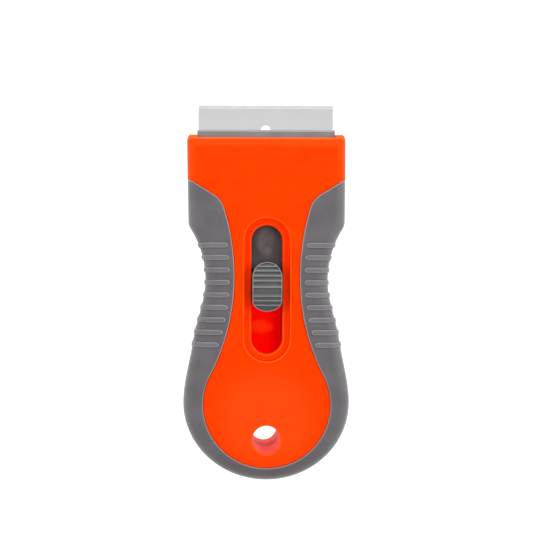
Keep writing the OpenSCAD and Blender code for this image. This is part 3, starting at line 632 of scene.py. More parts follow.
def orange_plastic(name, glow, reach):
    """Orange plastic that lets a share of the light in, with how far red light goes in it, in metres."""
    made = moulded(name, *ORANGE_TONES, HIGHLIGHT_ORANGE, SHADE_ORANGE,
                   rough=0.40, fine=4200, depth=0.00002, specular=0.06)
    shader = made.node_tree.nodes["Principled BSDF"]
    shader.inputs["Subsurface Weight"].default_value = glow
    shader.inputs["Subsurface Radius"].default_value = LIGHT_SPREAD
    shader.inputs["Subsurface Scale"].default_value = reach
    shader.inputs["Specular Tint"].default_value = ORANGE_GLEAM
    return made


ORANGE = orange_plastic("orange_satin_plastic", 0.15, 0.0007)
BACK_ORANGE = orange_plastic("orange_back_plastic", 1.0, 0.024)
print("materials", ORANGE.name, BACK_ORANGE.name)

# %% [markdown]
# ## Tones that belong to one place
# The red floor of the slot gets painted shade along its right wall and a painted pool of light in it,
# and the tail of the case is a little paler than its head. Such a tone could be painted on the mesh, but
# that needs many small faces. A soft oval in Object coordinates has its own place and size, and blends over
# any plastic.

# %% Soft ovals of tone
OVAL_CORE, OVAL_END = 0.45, 1.05
SHADED_SIDE = {"middle": (7.6, -10, 2.2), "half": (8, 40, 1.2), "most": 0.9}
PAINTED_LIGHT_POOL = {"middle": (-0.9, -11.3, 2.2), "half": (4.3, 2.5, 0.9), "most": 0.9}
PALE_TAIL = {"middle": (0, -35, 17), "half": (17, 16, 30), "most": 0.6}


def blend_last(plastic, factor, colour):
    """Blend one more colour over a finished plastic."""
    nodes, links = plastic.node_tree.nodes, plastic.node_tree.links
    base = nodes["Principled BSDF"].inputs["Base Color"]
    mix = nodes.new("ShaderNodeMix")
    mix.data_type = "RGBA"
    mix.inputs["B"].default_value = (*colour, 1)
    links.new(factor, mix.inputs["Factor"])
    links.new(base.links[0].from_socket, mix.inputs["A"])
    links.new(mix.outputs["Result"], base)


def oval(plastic, middle, half, most):
    """Soft oval in space, in millimetres: 0 outside it and the given share in its middle."""
    nodes, links = plastic.node_tree.nodes, plastic.node_tree.links
    place, soft = nodes.new("ShaderNodeTexCoord"), nodes.new("ShaderNodeMapRange")
    away, size, length = (nodes.new("ShaderNodeVectorMath") for _ in range(3))
    away.operation, size.operation, length.operation = "SUBTRACT", "DIVIDE", "LENGTH"
    away.inputs[1].default_value = [v * MM for v in middle]
    size.inputs[1].default_value = [v * MM for v in half]
    soft.interpolation_type = "SMOOTHSTEP"
    for label, value in (("From Min", OVAL_CORE), ("From Max", OVAL_END), ("To Min", most), ("To Max", 0)):
        soft.inputs[label].default_value = value
    links.new(place.outputs["Object"], away.inputs[0])
    links.new(away.outputs["Vector"], size.inputs[0])
    links.new(size.outputs["Vector"], length.inputs[0])
    links.new(length.outputs["Value"], soft.inputs["Value"])
    return soft.outputs["Result"]


# Painted shade along the right wall of the slot's floor, and a painted pool of light on it.
blend_last(BACK_ORANGE, oval(BACK_ORANGE, **SHADED_SIDE), (0.16, 0.002, 0.0003))
blend_last(BACK_ORANGE, oval(BACK_ORANGE, **PAINTED_LIGHT_POOL), (1.0, 0.21, 0.006))
blend_last(ORANGE, oval(ORANGE, **PALE_TAIL), (1.0, 0.078, 0.008))
print("three tones blended over", ORANGE.name, "and", BACK_ORANGE.name)

# %% [markdown]
# ## Front half of the case
# The front half is a shell with the thumb slot in a sunk rim, the mouth with its two ears, and the hang
# hole. It could be modelled face by face, but then each wall has to be kept right by hand. Cutting gives it
# as a mould does: the orange skin, less the room for the grips, the hollow, the blade pocket and the slot.
# The rails that the lock spring's tabs catch in and the screw bosses are added inside.

# %% Room for the grips
PAST_FACE, GRIP_SPARE = 14, 0.5
GROOVE_W, GROOVE_D = 0.2, 0.22


def orange_z(y):
    """Height of the orange face, which lies a little below the grips."""
    return front_z(y) - GRIP_PROUD


def orange_field(front):
    """Solid under the orange field, with a fine groove along its edge where the two plastics meet."""
    up, face, edge_r = (1, front_z, EDGE_R) if front else (-1, back_z, BACK_EDGE_R)
    rings = [level(TRIM, PART_Z - up * PAST_FACE)]
    for d, sink in ((0, GROOVE_D), (-GROOVE_W, 0.02), (-GROOVE_W, -9)):
        plan = trim_moved(d)
        z = face(np.minimum(plan[:, 1], MOUTH_Y)) - up * (GRIP_PROUD + roll_drop(plan, edge_r) + sink)
        rings.append(np.column_stack([plan, z]))
    return stack("field", rings)


def grip_room(front):
    """Room that the grip takes from the orange skin, made a little larger outside."""
    half_skin, up = (front_skin, 1) if front else (back_skin, -1)
    room = half_skin("room", -GRIP_SPARE, -GRIP_SPARE, PART_Z - up * 2)
    cut(room, half_skin("core", GRIP_T, GRIP_T, PART_Z - up * 3))
    cut(room, orange_field(front))
    return room


print("grips stand", GRIP_PROUD, "mm proud of the orange")

# %% Hollow and thumb slot
HANG_Y, HANG_R = -41.4, 3.9
POCKET_Y, SIDE_WALL, POCKET_WALL = 21.1, 2.0, 1.8
SLOT_R, SLOT_BACK_Y, SLOT_FRONT_Y = 4.28, -17.61, 18.08
RIM_Z, RIM_W = 16.5, 1.85
SLOT_LIP, RIM_ROOT, ROOT_RISE, RIM_BROW = 0.5, 0.7, 0.55, 0.55


def hollow(z0, z1):
    """Hollow of the handle, with a wall left round the hang hole."""
    half = case_moved_in(GRIP_T + SIDE_WALL)[:HALF_N]
    front = POCKET_Y - POCKET_WALL
    corner = (np.interp(front, half[::-1, 1], half[::-1, 0]), front)
    right = np.concatenate([[corner], half[half[:, 1] < front]])
    right[-1, 0] = 0
    made = prism("hollow", np.concatenate([right, right[-2::-1] * [-1, 1]]), z0, z1)
    cut(made, prism("hang_wall", disc(HANG_R + SIDE_WALL, (0, HANG_Y)), z0 - 1, z1 + 1))
    return made


def slot_outline(grow, n=40):
    """Round-ended slot along Y, grown all round."""
    a = np.radians(np.linspace(0, 180, n + 1))
    r = SLOT_R + grow
    front = np.column_stack([r * np.cos(a), SLOT_FRONT_Y - SLOT_R + r * np.sin(a)])
    back = np.column_stack([-r * np.cos(a), SLOT_BACK_Y + SLOT_R - r * np.sin(a)])
    side = np.linspace(front[-1], back[0], 42)[1:-1]
    return np.concatenate([front, side, back, side[::-1] * [-1, 1]])


def thumb_slot():
    """Cutter of the slot and its sunk rim, with a round on every edge."""
    rings = [level(slot_outline(0), PART_Z - 1), level(slot_outline(0), RIM_Z - SLOT_LIP)]
    for a in np.radians(np.linspace(0, 90, 8)[1:]):
        plan = slot_outline(SLOT_LIP * (1 - math.cos(a)))
        rings.append(level(plan, RIM_Z - SLOT_LIP * (1 - math.sin(a))))
    rings.append(level(slot_outline(RIM_W - RIM_ROOT), RIM_Z))
    for a in np.radians(np.linspace(0, 75, 8)[1:]):
        plan = slot_outline(RIM_W - RIM_ROOT + RIM_ROOT * math.sin(a))
        rings.append(level(plan, RIM_Z + RIM_ROOT * ROOT_RISE * (1 - math.cos(a))))
    for a in np.radians(np.linspace(25, 82, 8)):
        plan = slot_outline(RIM_W + RIM_BROW * (1 - math.cos(a)))
        z = orange_z(plan[:, 1]) - RIM_BROW * (1 - math.sin(a))
        rings.append(np.column_stack([plan, np.maximum(z, rings[-1][:, 2] + 0.01)]))
    plan = slot_outline(RIM_W + RIM_BROW + 0.2)
    rings.append(np.column_stack([plan, orange_z(plan[:, 1]) + 0.06]))
    rings.append(level(plan, BODY_T + 2))
    return stack("slot", rings)


print("slot", round(SLOT_FRONT_Y - SLOT_BACK_Y, 2), "mm long and", 2 * SLOT_R, "mm wide")

# %% Hang hole and mouth
HANG_EDGE, HANG_N = 0.55, 96
LINE_DEPTH, LINE_HALF = 0.35, 0.2
NOTCH_Y, NOTCH_HALF, LIP_RUN = 43.2, 19.65, 2.9
LIP_CREASE, LIP_STEEP, EAR_TIP = math.radians(15), math.radians(52), 0.55
PAST_WIDTH = 30


def hang_cutter(low, high, rim):
    """Cutter of the hang hole: rim gives the height of the face that its edge is rounded at."""
    up = 1 if high > low else -1
    rings = [level(disc(HANG_R, (0, HANG_Y), HANG_N), low)]
    for a in np.radians(np.linspace(0, 82, 9)):
        plan = disc(HANG_R + HANG_EDGE * (1 - math.cos(a)), (0, HANG_Y), HANG_N)
        rings.append(np.column_stack([plan, rim(plan[:, 1]) - up * HANG_EDGE * (1 - math.sin(a))]))
    plan = disc(HANG_R + HANG_EDGE + 0.15, (0, HANG_Y), HANG_N)
    rings.append(np.column_stack([plan, rim(plan[:, 1]) + up * 0.04]))
    rings.append(level(plan, high))
    return stack("hang", rings)


def mouth_roll(face, up):
    """Cutter over the mouth end: the face turns down at a faint crease and rolls over to the ears' tips."""
    radius = LIP_RUN / (math.sin(LIP_STEEP) - math.sin(LIP_CREASE))
    start_y = NOTCH_Y - LIP_RUN
    start_z = float(face(np.array(start_y)))
    roll = []
    for t in np.linspace(LIP_CREASE, LIP_STEEP, 13):
        y = start_y + radius * (math.sin(t) - math.sin(LIP_CREASE))
        roll.append((y, start_z - up * radius * (math.cos(LIP_CREASE) - math.cos(t))))
    straight = MOUTH_Y - EAR_TIP - NOTCH_Y
    ear_y, ear_z = NOTCH_Y + straight, roll[-1][1] - up * straight * math.tan(LIP_STEEP)
    tip_r = EAR_TIP / (1 - math.sin(LIP_STEEP))
    for t in np.linspace(LIP_STEEP, math.pi / 2, 7):
        y = ear_y + tip_r * (math.sin(t) - math.sin(LIP_STEEP))
        roll.append((y, ear_z - up * tip_r * (math.cos(LIP_STEEP) - math.cos(t))))
    past = (start_y - 0.2, start_z + up * 0.2 * math.tan(LIP_CREASE))
    far_y, far_z = MOUTH_Y + 2, PART_Z + up * PAST_FACE
    ends = [(far_y, roll[-1][1]), (far_y, far_z), (past[0], far_z)]
    return bar_across("roll", [past, *roll, *ends], -PAST_WIDTH, PAST_WIDTH)


def mouth_notch():
    """Cutter of the notch between the ears of the front half."""
    return block("notch", (-NOTCH_HALF, NOTCH_Y, PART_Z - 1), (NOTCH_HALF, MOUTH_Y + 2, BODY_T + 2))


def parting_groove():
    """Cutter of the fine line where the two halves meet in the hang hole."""
    ring = disc(HANG_R + LINE_DEPTH, (0, HANG_Y), HANG_N)
    return prism("line", ring, PART_Z - LINE_HALF, PART_Z + LINE_HALF)


print("hang hole", 2 * HANG_R, "mm across, mouth", 2 * NOTCH_HALF, "mm between its ears")

# %% Cut the front half
POCKET_HALF, POCKET_FLOOR, POCKET_ROOF, ROOF_Z = 20.0, 5.2, 10.8, 14.9
TONGUE_GAP, TONGUE_END_Y = 6.3, 31.38
SCREW_PLACES = [(14.2, 17.0), (-14.2, 17.0), (11.0, -27.9), (-11.0, -27.9)]
BOSS_R, PILOT_R, PILOT_TOP = 2.75, 1.3, 12.7
RAIL_Z, CATCH_Z, RAIL_ROOT = 12.5, 13.5, 15.2
RAIL_BACK_Y, RAIL_FRONT_Y, RAIL_IN, RAIL_OUT = -13.35, 14.25, 6.7, 8.5
CATCH_PLACES, CATCH_HALF = (-10.15, 1.05, 11.05), 1.1


def lock_rail():
    """Side view of a lock rail, with a catch for each of the places where the carriage locks."""
    profile = [(RAIL_BACK_Y, RAIL_ROOT), (RAIL_BACK_Y, RAIL_Z)]
    for y in CATCH_PLACES:
        back, front = y - CATCH_HALF, y + CATCH_HALF
        profile += [(back, RAIL_Z), (back, CATCH_Z), (front, CATCH_Z), (front, RAIL_Z)]
    return profile + [(RAIL_FRONT_Y, RAIL_Z), (RAIL_FRONT_Y, RAIL_ROOT)]


front_shell = front_skin("front_case", 0, GRIP_PROUD)
cut(front_shell, grip_room(True))
cut(front_shell, hollow(PART_Z - 1, ROOF_Z))
pocket_low, pocket_high = (-POCKET_HALF, POCKET_Y, PART_Z - 1), (POCKET_HALF, MOUTH_Y + 3, POCKET_ROOF)
cut(front_shell, block("pocket", pocket_low, pocket_high))
cut(front_shell, block("tongue", (-TONGUE_GAP, POCKET_Y - 3, PART_Z - 2), (TONGUE_GAP, TONGUE_END_Y, RAIL_Z)))
cut(front_shell, mouth_roll(orange_z, 1))
cut(front_shell, mouth_notch())
for x, y in SCREW_PLACES:
    cut(front_shell, prism("boss", disc(BOSS_R, (x, y), 40), PART_Z + 0.05, ROOF_Z + 0.4), "UNION")
    cut(front_shell, prism("pilot", disc(PILOT_R, (x, y), 32), PART_Z - 1, PILOT_TOP))
cut(front_shell, bar_across("rail", lock_rail(), RAIL_IN, RAIL_OUT), "UNION")
cut(front_shell, bar_across("rail", lock_rail(), -RAIL_OUT, -RAIL_IN), "UNION")
cut(front_shell, thumb_slot())
cut(front_shell, hang_cutter(PART_Z - 1, BODY_T + 2, orange_z))
cut(front_shell, parting_groove())
smooth_shading(front_shell)
print("front half cut,", len(front_shell.data.polygons), "faces")

# %% Painted highlights and painted shade of the front half
SLOT_END_Y, RIM_FADE_Y = (-17, -12), (-9, -3)
EDGE_AREA, HANG_TOP, HEAD_Y = 0.8, 15.5, 20


def front_highlights(plan, z, narrow):
    """Painted highlights: rim brow, slot lip, hang hole, mouth lip and ears, and the head's sides."""
    top = narrow * (z > RIM_Z - 0.4)
    x, y = np.abs(plan[:, 0]), plan[:, 1]
    brow = np.interp(y, SLOT_END_Y, (0.9, 0.5)) * top
    brow = brow * (distance_to(slot_outline(RIM_W + 0.4), plan) < 0.22)
    lip = 0.6 * top * (distance_to(slot_outline(0.25), plan) < 0.2)
    hole = 0.8 * narrow * (z > HANG_TOP) * (np.hypot(x, y - HANG_Y) < HANG_R + 0.6)
    above = z > POCKET_ROOF + 0.1
    roll = 0.14 * above * (y > NOTCH_Y - LIP_RUN)
    edge = 0.75 * above * (y > NOTCH_Y - 0.7)
    sides = 0.3 * above * (y > HEAD_Y) * np.clip((x - 19.4) / 3, 0, 1)
    return np.maximum.reduce([brow, lip, hole, roll, edge, sides])


def front_shade(plan, z):
    """Painted shade, redder: slot walls, under the brow, the rim beside the button, the groove by the grips.
    """
    near = distance_to(slot_outline(RIM_W / 2), plan)
    wall = 0.8 * (near < RIM_W / 2 + 0.1) * (z < RIM_Z - 0.45)
    step = np.interp(plan[:, 1], SLOT_END_Y, (1.0, 0.55)) * (z > RIM_Z)
    step = step * (distance_to(slot_outline(RIM_W), plan) < 0.16)
    rim = np.interp(plan[:, 1], RIM_FADE_Y, (0.15, 0.5)) * (near < RIM_W / 2) * (z < RIM_Z + 0.1)
    groove = 0.7 * (distance_to(TRIM, plan) < 0.19) * (z > PART_Z + 1)
    return np.maximum.reduce([wall, step, rim, groove])


middles = middles_of(front_shell)
narrow = narrow_faces(front_shell, EDGE_AREA)
# Painted highlights along the rim's brow, the slot's lip, the hang hole, the mouth's lip and the head's
# sides.
store(front_shell, "painted_highlight", front_highlights(middles[:, :2], middles[:, 2], narrow))
# Painted shade, a deeper red, in the slot, under the rim's brow, beside the button and in the groove.
store(front_shell, "deep", front_shade(middles[:, :2], middles[:, 2]))
to_metres(front_shell)
front_shell.data.materials.append(ORANGE)
hand_over(front_shell, "handle", "case", "front_shell")

# %% [markdown]
# ## Back half of the case
# The back half mirrors the front with a plain face, so it is cut in the same way. Its round seats take the
# screw heads, and inside it two stepped guides carry the tongue of the carriage. The floor between them is
# what shows red through the thumb slot: light from below comes through the wall, so this plastic lets more
# light in than the front.

# %% Rear shell
BACK_WALL, SEAT_Z, SEAT_R = 2.2, 3.4, 2.5
SEAT_BOSS_R, SCREW_CLEAR_R = 3.7, 1.35
GUIDE_IN, GUIDE_OUT, GUIDE_ROOT, GUIDE_TOP = 4.88, 7.6, 1.9, 7.8
GUIDE = [(GUIDE_IN, GUIDE_ROOT), (GUIDE_OUT, GUIDE_ROOT), (GUIDE_OUT, GUIDE_TOP),
         (TONGUE_GAP, GUIDE_TOP), (TONGUE_GAP, POCKET_FLOOR), (GUIDE_IN, POCKET_FLOOR)]
A_HAIR = 0.001


def back_face_z(y):
    """Height of the orange back face, which lies a little inside the grips."""
    return back_z(y) + GRIP_PROUD


rear_shell = back_skin("rear_case", 0, GRIP_PROUD)
cut(rear_shell, grip_room(False))
cut(rear_shell, hollow(BACK_WALL, PART_Z + 1))
pocket_low, pocket_high = (-POCKET_HALF, POCKET_Y, POCKET_FLOOR), (POCKET_HALF, MOUTH_Y + 3, PART_Z + 1)
cut(rear_shell, block("pocket", pocket_low, pocket_high))
# The way for the tongue starts a hair above the pocket's floor, so that the two cutters share no face.
tongue_low = (-TONGUE_GAP, POCKET_Y - 3, POCKET_FLOOR + A_HAIR)
cut(rear_shell, block("tongue", tongue_low, (TONGUE_GAP, POCKET_Y + 1, PART_Z + 2)))
cut(rear_shell, mouth_roll(back_face_z, -1))
for side in (1, -1):
    ends = [np.array([(side * x, y, z) for x, z in GUIDE]) for y in (SLOT_BACK_Y - 1, POCKET_Y - 1.3)]
    cut(rear_shell, stack("guide", ends), "UNION")
for x, y in SCREW_PLACES:
    cut(rear_shell, prism("boss", disc(SEAT_BOSS_R, (x, y), 48), BACK_WALL - 0.4, PART_Z - 0.05), "UNION")
    cut(rear_shell, prism("clear", disc(SCREW_CLEAR_R, (x, y), 32), -1, PART_Z + 1))
    cut(rear_shell, prism("seat", disc(SEAT_R, (x, y), 48), -1, SEAT_Z))
cut(rear_shell, hang_cutter(PART_Z + 1, -2, back_face_z))
cut(rear_shell, parting_groove())
smooth_shading(rear_shell)
x, y, z = middles_of(rear_shell).T
behind_pocket = (y < POCKET_Y) & (y > HANG_Y + HANG_R + 1)
# The floor and walls inside the rear half, behind the pocket, get painted shade, a deeper red.
store(rear_shell, "deep", behind_pocket & (z > BACK_WALL - 0.3) & (np.abs(x) < GRIP_T + 19))
to_metres(rear_shell)
rear_shell.data.materials.append(BACK_ORANGE)
hand_over(rear_shell, "handle", "case", "rear_shell")

# %% [markdown]
# ## Soft grips
# The grips are a soft grey rubber-like skin moulded over the sides. They could be a colour on the case, but
# they stand a little proud of the orange, with a rounded lip along the trim line that catches a thin line of
# light, so they are solids of their own. A pale painted highlight on that lip adds to the line. The material
# is matt with a visible grain, and a little sheen makes it paler where it turns away from the eye, as
# soft-touch coatings are. It is blended a little darker towards the tail.

# %% Soft grip material
GREY_TONES = (0.107, 0.099, 0.107), (0.133, 0.123, 0.132)
HIGHLIGHT_GREY, SHADE_GREY = (0.34, 0.325, 0.335), (0.05, 0.048, 0.05)
DARK_TAIL_TONE, LIP_HIGHLIGHT_TONE = (0.088, 0.073, 0.077), (0.60, 0.37, 0.32)
DARK_TAIL_PLACE = {"middle": (0, -54, 9), "half": (30, 15, 30), "most": 0.6}
GREY = moulded("soft_grey_grip", *GREY_TONES, HIGHLIGHT_GREY, SHADE_GREY,
               rough=0.56, fine=2600, depth=0.00004, specular=0.35)
soft = GREY.node_tree.nodes["Principled BSDF"]
soft.inputs["Sheen Weight"].default_value = 0.65
soft.inputs["Sheen Roughness"].default_value = 0.4
stored = GREY.node_tree.nodes.new("ShaderNodeAttribute")
stored.attribute_name = "lip"
# The grips are blended a little darker towards the tail.
blend_last(GREY, oval(GREY, **DARK_TAIL_PLACE), DARK_TAIL_TONE)
# A pale pinkish painted highlight along the grips' lip.
blend_last(GREY, stored.outputs["Fac"], LIP_HIGHLIGHT_TONE)
print("material", GREY.name)

# %% Grips
LIP_R, TRIM_GAP = 0.3, 0.01
LIP_NEAR, LIP_AREA, LIP_TAIL_Y = 0.25, 0.25, -24


def lip_faces(body):
    """Faces of the grip's rounded lip, which get a painted highlight tinted orange, less at the tail."""
    plan = middles_of(body)[:, :2]
    share = np.where(plan[:, 1] < LIP_TAIL_Y, 0.38, 0.58)
    return share * (distance_to(TRIM, plan) < LIP_NEAR) * narrow_faces(body, LIP_AREA)


def trim_cutter(front):
    """Cutter of the orange field that rounds the grips' lip as it comes out of their face."""
    up, face, edge_r = (1, front_z, EDGE_R) if front else (-1, back_z, BACK_EDGE_R)
    rings = [level(trim_moved(TRIM_GAP), PART_Z - up * 4)]
    for a in np.radians(np.linspace(0, 80, 7)):
        plan = trim_moved(TRIM_GAP + LIP_R * (1 - math.cos(a)))
        z = face(np.minimum(plan[:, 1], MOUTH_Y)) - up * (roll_drop(plan, edge_r) + LIP_R * (1 - math.sin(a)))
        rings.append(np.column_stack([plan, z]))
    plan = trim_moved(TRIM_GAP + LIP_R + 0.1)
    z = face(np.minimum(plan[:, 1], MOUTH_Y)) - up * (roll_drop(plan, edge_r) - 0.05)
    rings.append(np.column_stack([plan, z]))
    rings.append(level(plan, PART_Z + up * PAST_FACE))
    return stack("trim", rings)


def grip_half(name, front):
    """One grip: the whole skin of its half, less the core of the case and the orange field."""
    half_skin, up = (front_skin, 1) if front else (back_skin, -1)
    made = half_skin(name, 0, 0)
    cut(made, half_skin("core", GRIP_T, GRIP_T, PART_Z - up * 3))
    cut(made, trim_cutter(front))
    return made


def finish_grip(body, node):
    """Shade a grip, mark its lip, and let it stand for its CAD node."""
    smooth_shading(body)
    store(body, "lip", lip_faces(body))
    to_metres(body)
    body.data.materials.append(GREY)
    hand_over(body, "handle", "grip", node)


front_grip = grip_half("front_grip_skin", True)
finish_grip(front_grip, "front_grip")
rear_grip = grip_half("rear_grip_skin", False)
for x, y in SCREW_PLACES[:2]:
    cut(rear_grip, prism("seat", disc(SEAT_R, (x, y), 48), -1, PART_Z))
finish_grip(rear_grip, "rear_grip")

# %% [markdown]
# ## Ribs on the grips
# Nine low bars a side stop the fingers from slipping. Each follows the skin from just outside the orange
# field over the rounded edge and down the side. An Array modifier could repeat one bar, but each bar lies
# differently on the drawn-in waist, so Geometry Nodes sweep a rounded section along all the paths at once.
# Each path point stores a taper that rounds the ends, the way that the rib's width lies on the skin, and
# how strong the painted highlight on its edges is there, fading down the side. A thin wider strip under
# each bar is painted shade, a dark line beside it.

# %% Rib paths
RIB_COUNT, RIB_PITCH, RIB_FIRST_Y = 9, 3.43, 12.5
RIB_W, RIB_H, RIB_GAP, RIB_END = 1.4, 0.32, 1.3, 0.7
RIB_STOP, BACK_TURN = 0.6, 38
TIP_RUN, LIT_FALL, LIT_LEAST = 0.45, 0.8, 0.4


def bare_half(y):
    """Half width of the orange field at a place beside the ribs."""
    r = BARE_FRONT_R if y > BARE_WAIST_Y else BARE_BACK_R
    return BARE_HALF + r - math.sqrt(r**2 - (y - BARE_WAIST_Y) ** 2)


def side_x(y, inset):
    """Half width of the case at a place, with the outline moved in."""
    plan = (SIDE[:, :2] - inset * SIDE[:, 2:])[::-1]
    return float(np.interp(y, plan[:, 1], plan[:, 0]))


def front_rib(y):
    """Line on the skin from the inner end over the edge to just above the parting."""
    z = float(front_z(np.array(y)))
    line = [(bare_half(y) + RIB_GAP, y, z)]
    for a in np.radians(np.linspace(90, 0, 13)):
        line.append((side_x(y, EDGE_R * (1 - math.cos(a))), y, z - EDGE_R * (1 - math.sin(a))))
    return np.array(line + [(side_x(y, 0), y, PART_Z + RIB_STOP)])


def rear_rib(y):
    """Line on the skin from just under the parting round the back edge."""
    line = [(side_x(y, 0), y, PART_Z - RIB_STOP)]
    for a in np.radians(np.linspace(0, BACK_TURN, 6)):
        line.append((side_x(y, BACK_EDGE_R * (1 - math.cos(a))), y, BACK_EDGE_R * (1 - math.sin(a))))
    return np.array(line)


def path_share(line):
    """Places along a line, from 0 to 1, close together at its ends, and the taper at each."""
    total = np.linalg.norm(np.diff(line, axis=0), axis=1).sum()
    ends = np.array([0, 0.03, 0.1, 0.2, 0.34, 0.5, 0.68])
    s = np.concatenate([ends, np.linspace(1.0, total - 1.0, 24), total - ends[::-1]])
    near = np.minimum(s, total - s)
    return s / total, np.sqrt(np.clip(1 - (1 - np.minimum(near / RIB_END, 1)) ** 2, 0.02, 1))


def at_share(line, share):
    """Points of a line at shares of its length."""
    run = np.concatenate([[0], np.cumsum(np.linalg.norm(np.diff(line, axis=0), axis=1))])
    return np.column_stack([np.interp(share * run[-1], run, line[:, k]) for k in range(3)])


def keep_on_points(mesh, label, values):
    """Store a number for each point of a mesh."""
    layer = mesh.attributes.new(label, "FLOAT", "POINT")
    layer.data.foreach_set("value", np.array(values, dtype=np.float32))


def rib_paths(name, one_rib):
    """Mesh of edges, one line for each rib on both sides, with what each of its points stores."""
    points, edges, tapers, tips, lit_shares, lies = [], [], [], [], [], []
    for i in range(RIB_COUNT):
        y = RIB_FIRST_Y - i * RIB_PITCH
        share, taper = path_share(one_rib(y))
        line = at_share(one_rib(y), share)
        lie = at_share(one_rib(y + 0.2), share) - at_share(one_rib(y - 0.2), share)
        along = np.gradient(line, axis=0)
        along /= np.linalg.norm(along, axis=1)[:, None]
        lie -= (lie * along).sum(1)[:, None] * along
        lie /= np.linalg.norm(lie, axis=1)[:, None]
        tip = np.clip(1.5 * (1 - np.linalg.norm(line - line[0], axis=1) / TIP_RUN), 0, 1)
        # How strong the ribs' painted highlight is, less down the side.
        lit_share = np.clip(1 - (float(front_z(np.array(y))) - line[:, 2]) / LIT_FALL, LIT_LEAST, 1)
        for side in (1, -1):
            first = len(points)
            points += [tuple(p) for p in line * (side, 1, 1)]
            edges += [(first + k, first + k + 1) for k in range(len(line) - 1)]
            lies += list((lie * (side, 1, 1)).ravel())
            tapers += list(taper)
            tips += list(tip)
            lit_shares += list(lit_share)
    mesh = bpy.data.meshes.new(name)
    mesh.from_pydata(points, edges, [])
    for label, values in (("taper", tapers), ("tip", tips), ("lit_share", lit_shares)):
        keep_on_points(mesh, label, values)
    layer = mesh.attributes.new("lie", "FLOAT_VECTOR", "POINT")
    layer.data.foreach_set("vector", np.array(lies, dtype=np.float32))
    obj = bpy.data.objects.new(name, mesh)
    scene.collection.objects.link(obj)
    return obj


print(RIB_COUNT, "ribs a side,", RIB_PITCH, "mm apart")

# %% [markdown]
# ## Small helpers for Geometry Nodes
# A tree could be wired by hand in the node editor. Built in code, it says in words what it does, and its
# named inputs are set where it is used. Each tree ends in the same way, in smooth shading, Realize Instances
# and Set Material, because only real faces with a material on them leave the scene with their piece.

# %% Start and end of a tree


def node_tree(name, inputs):
    """Empty geometry tree with named inputs: returns the tree and a table of socket identifiers."""
    tree = bpy.data.node_groups.new(name, "GeometryNodeTree")
    tree.interface.new_socket("Geometry", in_out="INPUT", socket_type="NodeSocketGeometry")
    names = {label: tree.interface.new_socket(label, in_out="INPUT", socket_type=kind).identifier
             for label, kind in inputs.items()}
    tree.interface.new_socket("Geometry", in_out="OUTPUT", socket_type="NodeSocketGeometry")
    return tree, names


def stored_in_tree(tree, label, kind="FLOAT"):
    """What the geometry stores under a name."""
    made = tree.nodes.new("GeometryNodeInputNamedAttribute")
    made.data_type = kind
    made.inputs["Name"].default_value = label
    return made.outputs["Attribute"]


def close_tree(tree, source, start):
    """Every tree ends in smooth shading, Realize Instances and Set Material."""
    n, links = tree.nodes, tree.links
    smooth, real = n.new("GeometryNodeSetShadeSmooth"), n.new("GeometryNodeRealizeInstances")
    paint, end = n.new("GeometryNodeSetMaterial"), n.new("NodeGroupOutput")
    links.new(source, smooth.inputs["Geometry"])
    links.new(smooth.outputs["Geometry"], real.inputs["Geometry"])
    links.new(real.outputs["Geometry"], paint.inputs["Geometry"])
    links.new(start.outputs["Material"], paint.inputs["Material"])
    links.new(paint.outputs["Geometry"], end.inputs["Geometry"])


def in_one_material(body, finish):
    """Leave the mesh a single slot, which every face takes: a tree can leave an empty one before it."""
    body.data.materials.clear()
    body.data.materials.append(finish)
    first_slot = np.zeros(len(body.data.polygons), dtype=np.int32)
    body.data.polygons.foreach_set("material_index", first_slot)


def grow(obj, tree, names, **values):
    """Put the tree on the object, set its inputs, and keep the result as a plain mesh in its material."""
    step = obj.modifiers.new(tree.name, "NODES")
    step.node_group = tree
    for label, value in values.items():
        step[names[label]] = value
    apply_modifiers(obj)
    in_one_material(obj, values["Material"])


print("trees are built in Blender", bpy.app.version_string)

# %% Section and sweep
CORNER_STEPS = 6


def reckon(tree, how, a, b=0.0):
    """One step of arithmetic in a tree, on numbers or sockets."""
    made = tree.nodes.new("ShaderNodeMath")
    made.operation = how
    for socket, value in zip(made.inputs, (a, b)):
        if isinstance(value, (int, float)):
            socket.default_value = value
        else:
            tree.links.new(value, socket)
    return made.outputs["Value"]


def rounded_section(tree, width, height, rounding):
    """Rounded rectangle to sweep, and how near each of its points is to the middle of a rounded corner."""
    n, links = tree.nodes, tree.links
    section, corner = n.new("GeometryNodeCurvePrimitiveQuadrilateral"), n.new("GeometryNodeFilletCurve")
    place, axes = n.new("GeometryNodeInputPosition"), n.new("ShaderNodeSeparateXYZ")
    corner.mode = "POLY"
    corner.inputs["Count"].default_value = CORNER_STEPS
    links.new(width, section.inputs["Width"])
    links.new(height, section.inputs["Height"])
    links.new(rounding, corner.inputs["Radius"])
    links.new(section.outputs["Curve"], corner.inputs["Curve"])
    links.new(place.outputs["Position"], axes.inputs["Vector"])
    past = []
    for axis, size in (("X", width), ("Y", height)):
        inner = reckon(tree, "SUBTRACT", reckon(tree, "MULTIPLY", size, 0.5), rounding)
        over = reckon(tree, "SUBTRACT", reckon(tree, "ABSOLUTE", axes.outputs[axis]), inner)
        past.append(reckon(tree, "MAXIMUM", over))
    square = reckon(tree, "MULTIPLY", rounding, rounding)
    near = reckon(tree, "DIVIDE", reckon(tree, "MULTIPLY", past[0], past[1]), square)
    return corner.outputs["Curve"], near


def marked(tree, geometry, attribute, value):
    """Geometry with an attribute stored on its points."""
    made = tree.nodes.new("GeometryNodeStoreNamedAttribute")
    made.data_type, made.domain = "FLOAT", "POINT"
    made.inputs["Name"].default_value = attribute
    tree.links.new(geometry, made.inputs["Geometry"])
    tree.links.new(value, made.inputs["Value"])
    return made.outputs["Geometry"]


